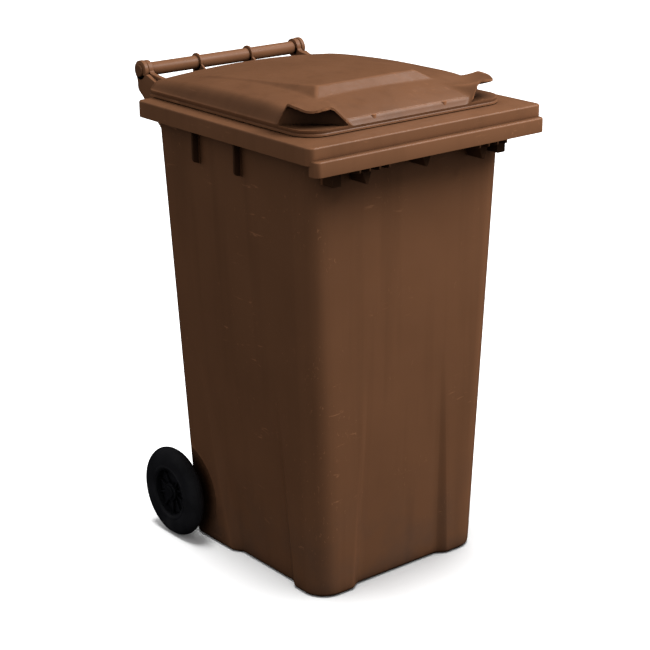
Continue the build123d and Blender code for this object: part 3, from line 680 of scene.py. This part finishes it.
def add_tooth(shape, x):
    """A thin plate under the ledge, from its front to the wall."""
    front, back, top, half = LEDGE_FRONT + 2, COMB_BACK, UNDER_TOP, TOOTH_WIDTH / 2
    corners = [(front, top), (front, 913.0), (-349.0, 911.0), (back, 905.0), (back, top)]
    shape.prism(rounded(corners, 3.0, 3), x - half, x + half, "x", 0.8)


def add_block(shape, x):
    """A square bar under one end of the ledge."""
    left, right = x - BLOCK_WIDTH / 2, x + BLOCK_WIDTH / 2
    corners = [(left, BLOCK_LOW), (right, BLOCK_LOW), (right, UNDER_TOP), (left, UNDER_TOP)]
    shape.prism(rounded(corners, 2.5, 3), BLOCK_FRONT, BLOCK_BACK, "y", 1.2)


def add_side_rib(shape, side, y):
    """An upright rib under the side rim, whose inner edge follows the wall's slant."""
    far, half = side * 279.0, RIB_WIDTH / 2
    corners = [(side * 257.7, 866.0), (far, 873.0), (far, RIB_TOP), (side * 262.5, RIB_TOP)]
    shape.prism(rounded(corners, [2.0, 9.0, 1.0, 1.0], 5), y - half, y + half, "y", 0.9)


def add_comb(shape):
    """Everything under the ledge and the side rims."""
    for middle, width, low in GUIDES:
        add_guide(shape, middle, width, low)
    for _, side in SIDES:
        for step in range(TEETH):
            add_tooth(shape, side * (FIRST_TOOTH + TOOTH_PITCH * step))
        add_block(shape, side * BLOCK_X)
        for y in RIB_PLACES:
            add_side_rib(shape, side, y)


def add_chip_socket(shape):
    """The round socket under the ledge for the chip and its plug."""
    low, high = extent("chip_plug")
    x, y = (low.x + high.x) / 2, (low.y + high.y) / 2
    profile = ((15.05, 942.0), (15.05, 922.0), (15.6, 921.0), (16.9, 921.0), (17.5, 922.0), (17.5, UNDER_TOP))
    shape.loft([level_circle(x, y, z, radius, 48) for radius, z in profile])


# ------------------------------
# Handle
def hinge_lathe(shape, profile):
    """Turns a profile about the lid's hinge."""
    shape.lathe(profile, (0.0, HINGE_Y, HINGE_Z), 72)


def soft_disc(inner, outer, low, high, edge):
    """The profile of a disc or sleeve with rounded outer edges."""
    profile = [(inner, low)]
    profile += [(outer - edge * (1 - sin(t)), low + edge * (1 - cos(t))) for t in quarter(4)]
    profile += [(outer - edge * (1 - cos(t)), high - edge * (1 - sin(t))) for t in quarter(4)]
    return profile + [(inner, high)]


def add_bar(shape):
    """The handle's bar, closed in its middle, with a bore in each end for a hinge pin."""
    bar = [(0.4, -BORE_END), (BORE, -BORE_END), (BORE, -BAR_HALF)]
    bar += soft_disc(BORE + 1.0, BAR_RADIUS, -BAR_HALF, BAR_HALF, 1.6)[1:-1]
    bar += [(BORE, BAR_HALF), (BORE, BORE_END), (0.4, BORE_END)]
    hinge_lathe(shape, bar)


def add_collar(shape, side):
    """A collar on the bar, and the web that holds it to the back wall."""
    x, half = side * COLLAR_X, COLLAR_WIDTH / 2
    hinge_lathe(shape, soft_disc(BAR_RADIUS - 2.0, COLLAR_RADIUS, x - half, x + half, 1.4))
    web = rounded([
        (HINGE_Y - 15.0, HINGE_Z), (HINGE_Y + 15.0, HINGE_Z), (HINGE_Y + 12.0, HINGE_Z - 34.0),
        (HINGE_Y - 4.0, HINGE_Z - 52.0), (BACK_WALL, WEB_LOW), (BACK_WALL, WEB_TOP),
        (RIM_BACK + 30.0, WEB_TOP),
    ], [2.0, 2.0, 14.0, 20.0, 2.0, 2.0, 16.0])
    shape.prism(web, x - half, x + half, "x", 1.2)


def add_ear(shape, side):
    """The ear beyond the lid's eye, bored for the hinge pin."""
    low, high = sorted((side * EAR_INNER, side * EAR_OUTER))
    hinge_lathe(shape, soft_disc(BORE, EAR_RADIUS, low, high, 1.8))
    ear = rounded([
        (HINGE_Y - 24.0, HINGE_Z - 6.0), (HINGE_Y + 17.0, HINGE_Z - 9.0), (HINGE_Y + 11.5, HINGE_Z - 22.0),
        (HINGE_Y + 10.0, HINGE_Z - 42.0), (HINGE_Y - 5.0, HINGE_Z - 53.0), (BACK_WALL, WEB_LOW),
        (BACK_WALL, WEB_TOP), (LID_BACK + 2.6, WEB_TOP), (LID_BACK + 2.6, 984.0),
    ], [6.0, 2.0, 10.0, 12.0, 20.0, 2.0, 2.0, 2.0, 5.0])
    shape.prism(ear, low, high, "x", 1.6)


def add_handle(shape):
    """The bar with its collars, webs and ears."""
    add_bar(shape)
    for _, side in SIDES:
        add_collar(shape, side)
        add_ear(shape, side)


def add_brackets(shape):
    """Plates under the back, which carry the axle."""
    outline = rounded([
        (NOTCH_FRONT - 2.0, 40.0), (AXLE_Y - 2.0, 72.0), (AXLE_Y + 18.0, 82.0), (AXLE_Y + 18.0, 118.0),
        (AXLE_Y + 2.0, NOTCH_TOP + 2.0), (NOTCH_FRONT - 2.0, NOTCH_TOP + 2.0),
    ], [2.0, 12.0, 8.0, 8.0, 2.0, 2.0])
    for low in AXLE_PLATES:
        shape.prism(outline, low, low + PLATE_WIDTH, "x", 1.0)


def make_container():
    """The body and all that is moulded onto it, as one piece."""
    shell = make_shell()
    extras = Shape()
    for add in (add_ledge, add_comb, add_chip_socket, add_handle, add_brackets):
        add(extras)
    body = extras.object("bin_body")
    join(body, shell)
    finish_piece(body, "container", brown)
    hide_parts("container")


make_container()


# ------------------------------
# Lid: a field of heights over the plan, hollow below, with two finger pockets cut out. Each of
# the sections is a place along Y, the height at the shoulder and the height in the middle.
LID_SECTIONS = np.array([
    (-330.0, 980.0, 980.0), (-300.0, 990.5, 991.0), (-268.0, 1000.0, 1002.0), (-190.0, 1016.0, 1020.0),
    (-60.0, 1020.0, 1030.0), (100.0, 1015.5, 1028.0), (243.0, 1003.5, 1014.0), (290.0, 996.0, 1004.0),
])
SHOULDER, LIP_ROUND, FRONT_BEVEL = 34.0, 14.0, 6.5
SHOULDER_X = LID_HALF - SHOULDER
FRONT_START, FRONT_REACH, FRONT_DROP, SHOULDER_POWER = -215.0, 40.0, 3.0, 2.2
PLATEAU_FOOT = (158.0, -188.0, 1016.0)
PLATEAU_FRONT = (125.0, -151.0, 1037.5)
PLATEAU_REAR, PLATEAU_FALL = (174.0, 136.0, 1022.5), 0.3
HORN_SIDE, HORN_FRONT, GRIP_TIP = (243.0, -208.0), (187.0, -277.0), (231.0, -270.0)
SKIRT_SIDE, SKIRT_FRONT = (256.0, -200.0, 996.0), (156.0, -291.0, 990.0)
SLOPE_SIDE, SLOPE_FRONT = (206.0, -178.0, 1017.5), (144.0, -226.0, 1011.0)
GRIP_TOP, GRIP_FALL, GRIP_REACH, GRIP_PLATE, TIP_MARGIN = 1025.0, 13.0, 20.0, 4.5, 9.0
HORN_RISE, HORN_REACH, HORN_LIMIT = 3.5, 60.0, 1.2
POCKET_FLOOR, POCKET_MIDDLE, POCKET_RADIUS = 987.0, (240.0, -274.0), 94.0
POCKET_BACK = (
    (253.0, -201.0), (232.0, -207.0), (204.0, -222.0), (185.0, -243.0), (167.0, -270.0), (157.0, -289.0),
)
POCKET_FRONT = (
    (264.0, -197.0), (262.0, -219.0), (256.0, -250.0), (232.0, -284.0), (190.0, -294.0), (153.0, -296.0),
)
BUFFERS, BOSS_LOW = ((234.0, -260.0), (90.0, -275.5)), 979.0

# Rings round the lid's edge: a height, and how far inside the outline
LID_RIM = (
    (LID_LIP - 4.5, 0.0), (LID_BOTTOM + 6.0, 0.3), (LID_BOTTOM + 4.4, -1.2), (LID_BOTTOM + 1.4, -1.6),
    (LID_BOTTOM, -0.6), (LID_BOTTOM, LID_WALL),
)


def smooth_curve(at, places, values):
    """A smooth line through (place, value) points."""
    slopes = np.gradient(values, places)
    i = np.clip(np.searchsorted(places, at) - 1, 0, len(places) - 2)
    step = places[i + 1] - places[i]
    t = (at - places[i]) / step
    a, b = values[i], values[i + 1]
    return (
        (2 * t ** 3 - 3 * t ** 2 + 1) * a + (t ** 3 - 2 * t ** 2 + t) * step * slopes[i]
        + (3 * t ** 2 - 2 * t ** 3) * b + (t ** 3 - t ** 2) * step * slopes[i + 1]
    )


def blend_low(a, b, soft):
    """The lower of two heights, with the change rounded over soft millimetres."""
    mix = np.clip(0.5 + 0.5 * (b - a) / soft, 0, 1)
    return b + (a - b) * mix - soft * mix * (1 - mix)


def blend_high(a, b, soft):
    return -blend_low(-a, -b, soft)


def plane_through(p, q, r):
    """The height function of the plane through three points."""
    p, q, r = Vector(p), Vector(q), Vector(r)
    n = (q - p).cross(r - p)
    return lambda x, y: p.z - (n.x * (x - p.x) + n.y * (y - p.y)) / n.z


def edge_distance(x, y):
    """How far inside the lid's outline a point is."""
    middle, reach = (LID_FRONT + LID_BACK) / 2, (LID_BACK - LID_FRONT) / 2
    corner = np.where(y < middle, LID_CORNER_FRONT, LID_CORNER_BACK)
    across = np.abs(x) - (LID_HALF - corner)
    along = np.abs(y - middle) - (reach - corner)
    outside = np.hypot(np.maximum(across, 0), np.maximum(along, 0))
    return corner - outside - np.minimum(np.maximum(across, along), 0)


def hood_heights(x, y):
    """The tops and side slopes of the two corner grips, mirrored by the absolute x."""
    ax = np.abs(x)
    inward = blend_low(HORN_SIDE[0] - ax, y - GRIP_TIP[1] + TIP_MARGIN, 20.0)
    along = (ax - GRIP_TIP[0]) + (y - GRIP_TIP[1])
    wave = HORN_RISE * np.minimum((along / HORN_REACH) ** 2, HORN_LIMIT)
    top = GRIP_TOP + wave - GRIP_FALL * (1 - np.exp(-np.maximum(inward, 0.0) / GRIP_REACH))
    side = plane_through((*HORN_SIDE, GRIP_TOP), SKIRT_SIDE, SLOPE_SIDE)
    front = plane_through((*HORN_FRONT, GRIP_TOP), SKIRT_FRONT, SLOPE_FRONT)
    slope = blend_low(side(ax, y), front(ax, y), 4.0)
    return blend_low(top, slope, 7.0)


def plateau_heights(ax, y):
    """The raised middle panel: planes with soft edges between them."""
    middle = (0.0, *PLATEAU_FRONT[1:])
    top = plane_through(PLATEAU_FRONT, middle, PLATEAU_REAR)
    side = plane_through(PLATEAU_FRONT, PLATEAU_REAR, PLATEAU_FOOT)
    front = plane_through(PLATEAU_FRONT, middle, PLATEAU_FOOT)
    panel = blend_low(blend_low(top(ax, y), front(ax, y), 2.0), side(ax, y), 2.0)
    return blend_low(panel, PLATEAU_REAR[2] - PLATEAU_FALL * (y - PLATEAU_REAR[1]), 2.0)


def lid_heights(x, y):
    """The lid's upper surface."""
    shoulder = smooth_curve(y, LID_SECTIONS[:, 0], LID_SECTIONS[:, 1])
    crown = smooth_curve(y, LID_SECTIONS[:, 0], LID_SECTIONS[:, 2])
    ax = np.abs(x)
    dome = crown - (crown - shoulder) * (ax / SHOULDER_X) ** 2
    height = blend_high(dome, plateau_heights(ax, y), 1.5)
    sideways = np.clip((LID_HALF - ax) / SHOULDER, 0, 1)
    front = soft_step((FRONT_START - y) / FRONT_REACH)
    lip = np.clip(edge_distance(x, y) / (LIP_ROUND + (FRONT_BEVEL - LIP_ROUND) * front), 0, 1)
    rise = np.sqrt(1 - (1 - lip) ** 2)
    share = (1 - (1 - sideways) ** SHOULDER_POWER) * (rise + (lip - rise) * front)
    base = LID_LIP - FRONT_DROP * front
    height = base + (height - base) * share
    return blend_high(height, hood_heights(x, y), 5.0)


def scan_grid(inward, step):
    """Rows across the lid's outline moved in by inward; each row has the same number of points."""
    half, front, back = LID_HALF - inward, LID_FRONT + inward, LID_BACK - inward
    r1, r2 = LID_CORNER_FRONT - inward, LID_CORNER_BACK - inward
    turns = np.linspace(0, pi / 2, 17)
    rows = [(front + r1 * (1 - cos(t)), half - r1 * (1 - sin(t))) for t in turns]
    count = int((back - r2 - front - r1) / step)
    rows += [(front + r1 + (back - r2 - front - r1) * k / count, half) for k in range(1, count)]
    rows += [(back - r2 * (1 - cos(t)), half - r2 * (1 - sin(t))) for t in turns[::-1]]
    columns = int(2 * LID_HALF / step)
    along = np.linspace(-1, 1, columns + 1)
    x = np.array([[s * width for s in along] for _, width in rows])
    y = np.array([[row_y] * (columns + 1) for row_y, _ in rows])
    return x, y


def border(rows, columns):
    """Indices round the edge of a grid, in order."""
    edge = list(range(columns))
    edge += [r * columns + columns - 1 for r in range(1, rows)]
    edge += [(rows - 1) * columns + c for c in range(columns - 2, -1, -1)]
    edge += [r * columns for r in range(rows - 2, 0, -1)]
    return edge


def grid_faces(rows, columns):
    """Faces between the points of a grid, row by row."""
    pairs = [(r * columns + c, (r + 1) * columns + c) for r in range(rows - 1) for c in range(columns - 1)]
    return [[a, a + 1, b + 1, b] for a, b in pairs]


def pocket_room(x, y):
    """1 well inside a finger pocket's plan, fading to 0 outside it."""
    reach = np.hypot(np.abs(x) - POCKET_MIDDLE[0], y - POCKET_MIDDLE[1]) - POCKET_RADIUS
    return 1 - soft_step(reach / 8.0)


def under_heights(x, y):
    """The lid's lower surface, which comes down to the floors of the finger pockets."""
    under = lid_heights(x, y) - LID_WALL
    under = under + (np.minimum(under, POCKET_FLOOR - LID_WALL) - under) * pocket_room(x, y)
    return np.maximum(under, LID_BOTTOM + 3.0)


def lid_solid(step):
    """The lid's shell: the surface above, the one below, and the rings round the rim between them."""
    x, y = scan_grid(0.0, step)
    rows, columns = x.shape
    top = list(zip(x.ravel(), y.ravel(), lid_heights(x, y).ravel()))
    x, y = scan_grid(LID_WALL, step)
    points = top + list(zip(x.ravel(), y.ravel(), under_heights(x, y).ravel()))
    grid = grid_faces(rows, columns)
    faces = grid + [[i + len(top) for i in face[::-1]] for face in grid]
    edge = border(rows, columns)
    edge_rings = [edge]
    outline = np.array([top[i][:2] for i in edge])
    run = np.roll(outline, -1, axis=0) - np.roll(outline, 1, axis=0)
    run /= np.linalg.norm(run, axis=1, keepdims=True)
    outwards = np.stack([run[:, 1], -run[:, 0]], axis=1)
    for level, inward in LID_RIM:
        edge_rings.append([len(points) + k for k in range(len(edge))])
        points += [(px, py, level) for px, py in outline - outwards * inward]
    edge_rings.append([i + len(top) for i in edge])
    for ring_a, ring_b in zip(edge_rings[:-1], edge_rings[1:]):
        for k in range(len(edge)):
            j = (k + 1) % len(edge)
            faces.append([ring_a[k], ring_b[k], ring_b[j], ring_a[j]])
    return Shape().add(points, faces)


def curve_through(points, steps):
    """A smooth open line through plan points."""
    points = [np.array(p, float) for p in points]
    points = [2 * points[0] - points[1]] + points + [2 * points[-1] - points[-2]]
    out = []
    for i in range(1, len(points) - 2):
        p0, p1, p2, p3 = points[i - 1:i + 3]
        for k in range(steps):
            t = k / steps
            out.append(0.5 * (2 * p1 + (p2 - p0) * t + (2 * p0 - 5 * p1 + 4 * p2 - p3) * t ** 2
                              + (3 * p1 - p0 - 3 * p2 + p3) * t ** 3))
    return out + [points[-2]]


def canopy_edge():
    """The plan of a grip's free edge, from the skirt on the side to the skirt on the front."""
    return curve_through([
        (264.0, -194.0), SKIRT_SIDE[:2], (249.0, -203.0), HORN_SIDE, (243.0, -244.0), GRIP_TIP,
        (208.0, -279.0), HORN_FRONT, (170.0, -283.0), SKIRT_FRONT[:2], (148.0, -300.0),
    ], 5)


def open_corner(side):
    """The space outside a grip's free edge, above the pocket's floor."""
    edge = [(side * x, y) for x, y in canopy_edge()]
    outline = edge + [(side * x, y) for x, y in ((150.0, -330.0), (300.0, -330.0), (300.0, -180.0))]
    rings = [[(x, y, z) for x, y in outline] for z in (POCKET_FLOOR, GRIP_TOP + 30.0)]
    return Shape().loft(rings).object("corner")


def finger_space(side):
    """The space under a grip's plate, as deep as the pocket's back wall."""
    back, front = curve_through(POCKET_BACK, 5), curve_through(POCKET_FRONT, 5)
    layers = 8
    tops, floors = [], []
    for k in range(layers + 1):
        row = [b + (f - b) * k / layers for b, f in zip(back, front)]
        x, y = np.array(row).T
        height = np.maximum(hood_heights(x, y) - GRIP_PLATE, POCKET_FLOOR + 2.0)
        tops += [(side * a, b, c) for a, b, c in zip(x, y, height)]
        floors += [(side * a, b, POCKET_FLOOR) for a, b in zip(x, y)]
    total = len(tops)
    grid = grid_faces(layers + 1, len(back))
    faces = grid + [[i + total for i in face[::-1]] for face in grid]
    edge = border(layers + 1, len(back))
    for a, b in zip(edge, edge[1:] + edge[:1]):
        faces.append([a, a + total, b + total, b])
    return Shape().add(tops + floors, faces).object("fingers")


def add_lid_hinges(shape):
    """The two arms behind the lid, each with its eye."""
    for _, side in SIDES:
        low, high = sorted((side * EYE_INNER, side * EYE_OUTER))
        hinge_lathe(shape, soft_disc(BORE, EYE_RADIUS, low, high, 1.6))
        arm = rounded([
            (HINGE_Y - 9.0, HINGE_Z - 4.0), (HINGE_Y - 4.0, HINGE_Z - 14.0), (HINGE_Y - 16.0, HINGE_Z - 19.0),
            (LID_BACK - 2.5, 978.0), (LID_BACK - 2.5, 997.0), (HINGE_Y - 24.0, 1003.0),
            (HINGE_Y - 13.0, 1016.0),
        ], [2.0, 2.0, 10.0, 1.0, 1.0, 12.0, 4.0])
        shape.prism(arm, low, high, "x", 1.5)


def add_bosses(shape):
    """Under the lid, a boss for each rubber buffer's stem, up to the pocket's floor or the lid."""
    for x, y in BUFFERS:
        roof = POCKET_FLOOR if pocket_room(x, y) > 0.5 else float(lid_heights(x, y))
        top = roof - 1.5
        profile = [(3.1, top), (3.1, BOSS_LOW), (7.2, BOSS_LOW), (8.0, BOSS_LOW + 0.8), (8.0, top)]
        for _, side in SIDES:
            rings = [level_circle(side * x, y, z, radius, 40) for radius, z in profile + profile[:1]]
            shape.loft(rings, caps=False)


def make_lid():
    """The lid with its grips, pockets, hinge arms and bosses, as one piece."""
    lid = lid_solid(4.0).object("bin_lid")
    for _, side in SIDES:
        cut(lid, [open_corner(side)])
        cut(lid, [finger_space(side)])
    extras = Shape()
    add_lid_hinges(extras)
    add_bosses(extras)
    join(lid, extras.object("arms"))
    finish_piece(lid, "lid", brown, 30.0)
    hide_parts("lid")


make_lid()


# ------------------------------
# Wheels: the tyre's side as radii and depths below its face, the latch's boss as radii and
# heights above the axle, and a spoke as places along and across it
SPOKE = ((19.0, -2.6), (51.0, -1.9), (51.0, 1.9), (19.0, 2.6))
SIDEWALL = (
    (RIM_SEAT, 3.6), (55.0, 1.6), (58.0, 0.4), (60.5, 0.4), (61.5, 1.4), (66.0, 1.0), (76.0, 0.6),
    (84.0, 1.6), (89.0, 3.0), (93.0, 5.4), (96.0, 8.6),
)
LATCH_BOSS = (
    (LATCH_BORE, 18.5), (7.6, 18.5), (7.6, 51.0), (0.2, 51.0), (0.2, 42.5), (LATCH_BORE, 42.5),
    (LATCH_BORE, 18.5),
)


def make_tyre(hand, side):
    """A solid tyre: a moulded bead on each face and a crowned tread with two grooves."""
    middle, half = (TYRE_INNER + TYRE_OUTER) / 2, (TYRE_OUTER - TYRE_INNER) / 2
    profile = [(radius, middle + half - depth) for radius, depth in SIDEWALL]
    mirrored = [(radius, 2 * middle - x) for radius, x in profile][::-1]
    for k in range(13):
        offset = (half - TREAD_EDGE) * (1 - k / 6.0)
        groove = GROOVE if k in (4, 8) else 0.0
        profile.append((WHEEL_RADIUS - TREAD_CROWN * (offset / half) ** 2 - groove, middle + offset))
    tyre = Shape().lathe(profile + mirrored, segments=128, side=side).object(f"tyre_skin_{hand}")
    finish_piece(tyre, f"wheel_{hand}", tyre_rubber, 50.0)
    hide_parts(f"tyre_{hand}")


def make_rim(hand, side):
    """Band, web, ribs and hub of a wheel, with the upright boss that holds its latch."""
    inner, outer, hub_inner = TYRE_INNER, TYRE_OUTER, TYRE_OUTER - HUB_WIDTH
    bore = AXLE_RADIUS + 0.3
    hub = Shape().lathe([
        (bore, hub_inner + 2.0), (18.8, hub_inner + 2.0), (20.0, hub_inner + 3.2), (20.0, outer - 8.0),
        (18.4, outer - 6.0), (CAP_SEAT, outer - 6.0), (CAP_SEAT, outer - 9.0), (bore, outer - 9.0),
    ], segments=72, side=side).object("hub")

    def upright(radius, height):
        return level_circle(side * LATCH_X, AXLE_Y, AXLE_Z + height, radius, 32)

    cut(hub, [Shape().loft([upright(LATCH_BORE, 2.0), upright(LATCH_BORE, 30.0)]).object("bore")])
    shape = Shape()
    shape.loft([upright(radius, height) for radius, height in LATCH_BOSS], caps=False)
    shape.lathe([
        (RIM_SEAT, inner + 4.0), (51.4, inner + 4.6), (50.8, inner + 6.0), (50.8, outer - 5.4),
        (51.4, outer - 4.0), (RIM_SEAT, outer - 3.4),
    ], segments=120, side=side)
    web = side * (inner + outer) / 2
    shape.lathe([(19.0, 1.5), (19.0, -1.5), (51.0, -1.5), (51.0, 1.5)], (web, AXLE_Y, AXLE_Z), 96)
    low, high = sorted((side * (inner + 6.0), side * (outer - 12.0)))
    middle = np.array((AXLE_Y, AXLE_Z))
    for spoke in range(1, SPOKES):
        turn = pi / 2 + 2 * pi * spoke / SPOKES
        along, across = np.array((cos(turn), sin(turn))), np.array((-sin(turn), cos(turn)))
        corners = [middle + along * r + across * w for r, w in SPOKE]
        shape.prism(rounded(corners, 0.5, 2), low, high, "x", 0.7)
    rim = shape.object(f"rim_skin_{hand}")
    join(rim, hub)
    finish_piece(rim, f"wheel_{hand}", black)
    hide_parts(f"wheel_rim_{hand}")


for hand, side in SIDES:
    make_tyre(hand, side)
    make_rim(hand, side)


# ------------------------------
# Stage, light and camera, in metres
LIGHT_DISTANCE = 4.0


def make_floor():
    """A wide pale floor that throws no light back at the bin."""
    mesh = bpy.data.meshes.new("floor")
    far = 30.0
    mesh.from_pydata([(-far, -far, 0), (far, -far, 0), (far, far, 0), (-far, far, 0)], [], [(0, 1, 2, 3)])
    floor = add_object("floor", mesh)
    material, _, shader = new_material("floor_white")
    shader.inputs["Base Color"].default_value = (0.86, 0.86, 0.86, 1.0)
    shader.inputs["Roughness"].default_value = 0.9
    shader.inputs["Specular IOR Level"].default_value = 0.1
    mesh.materials.append(material)
    floor.visible_diffuse = False
    floor.visible_glossy = False
    return floor


def only_for(lamp, thing, state):
    """Makes a light reach one object only, or everything but that object."""
    group = bpy.data.collections.new(lamp.name + "_reach")
    group.objects.link(thing)
    lamp.light_linking.receiver_collection = group
    group.collection_objects[0].light_linking.link_state = state


def add_light(name, kind, direction, strength):
    """A light in a direction from the middle of the bin, turned towards it."""
    light = bpy.data.lights.new(name, kind)
    light.energy = strength
    lamp = add_object(name, light)
    lamp.location = Vector((0, 0, 0.7)) + Vector(direction).normalized() * LIGHT_DISTANCE
    lamp.rotation_mode = "QUATERNION"
    lamp.rotation_quaternion = Vector(direction).to_track_quat("Z", "Y")
    return lamp


def softbox(name, floor, direction, power, size):
    """A square softbox that lights the bin and leaves the floor alone."""
    lamp = add_light(name, "AREA", direction, power)
    lamp.data.size = size
    only_for(lamp, floor, "EXCLUDE")


def make_lights(floor):
    """A key light, a weaker light from the side, and a sun for the floor alone."""
    softbox("key", floor, direction=(0.50, -0.53, 0.75), power=216.0, size=2.0)
    softbox("side", floor, direction=(0.66, 0.10, 0.74), power=30.0, size=1.2)
    sun = add_light("floor_light", "SUN", (0.0, 0.0, 1.0), 4.9)
    sun.data.angle = radians(28.0)
    only_for(sun, floor, "INCLUDE")


def make_world(above, below):
    """A dim grey studio, darker below, and white where the camera looks past the floor."""
    world = bpy.data.worlds.new("studio")
    world.use_nodes = True
    tree = world.node_tree
    dim, white = tree.nodes["Background"], tree.nodes.new("ShaderNodeBackground")
    for background in (dim, white):
        background.inputs["Color"].default_value = (1.0, 1.0, 1.0, 1.0)
    path = tree.nodes.new("ShaderNodeLightPath")
    mix = tree.nodes.new("ShaderNodeMixShader")
    height = axes(tree, "Generated")[2]
    tree.links.new(spread(tree, height, below, above, -0.4, 0.4), dim.inputs["Strength"])
    tree.links.new(path.outputs["Is Camera Ray"], mix.inputs["Fac"])
    tree.links.new(dim.outputs["Background"], mix.inputs[1])
    tree.links.new(white.outputs["Background"], mix.inputs[2])
    tree.links.new(mix.outputs["Shader"], tree.nodes["World Output"].inputs["Surface"])
    bpy.context.scene.world = world
    world.cycles_visibility.glossy = False


def make_camera():
    """The camera in front of the bin's left corner, a little above it, rolled by half a degree."""
    azimuth, elevation, roll = radians(-38.7), radians(19.2), radians(-0.5)
    target, distance = Vector((-0.0273, -0.0487, 0.5)), 3.6984
    back = Vector((sin(azimuth) * cos(elevation), -cos(azimuth) * cos(elevation), sin(elevation)))
    right = Vector((cos(azimuth), sin(azimuth), 0.0))
    up = back.cross(right)
    right, up = right * cos(roll) + up * sin(roll), up * cos(roll) - right * sin(roll)
    data = bpy.data.cameras.new("camera")
    data.lens = 97.41
    camera = add_object("camera", data)
    turn = Matrix((right, up, back)).transposed().to_4x4()
    camera.matrix_world = Matrix.Translation(target + back * distance) @ turn
    bpy.context.scene.camera = camera


make_lights(make_floor())
make_world(above=0.68, below=0.10)
make_camera()
bpy.context.scene.view_settings.view_transform = "Standard"

bpy.context.view_layer.update()
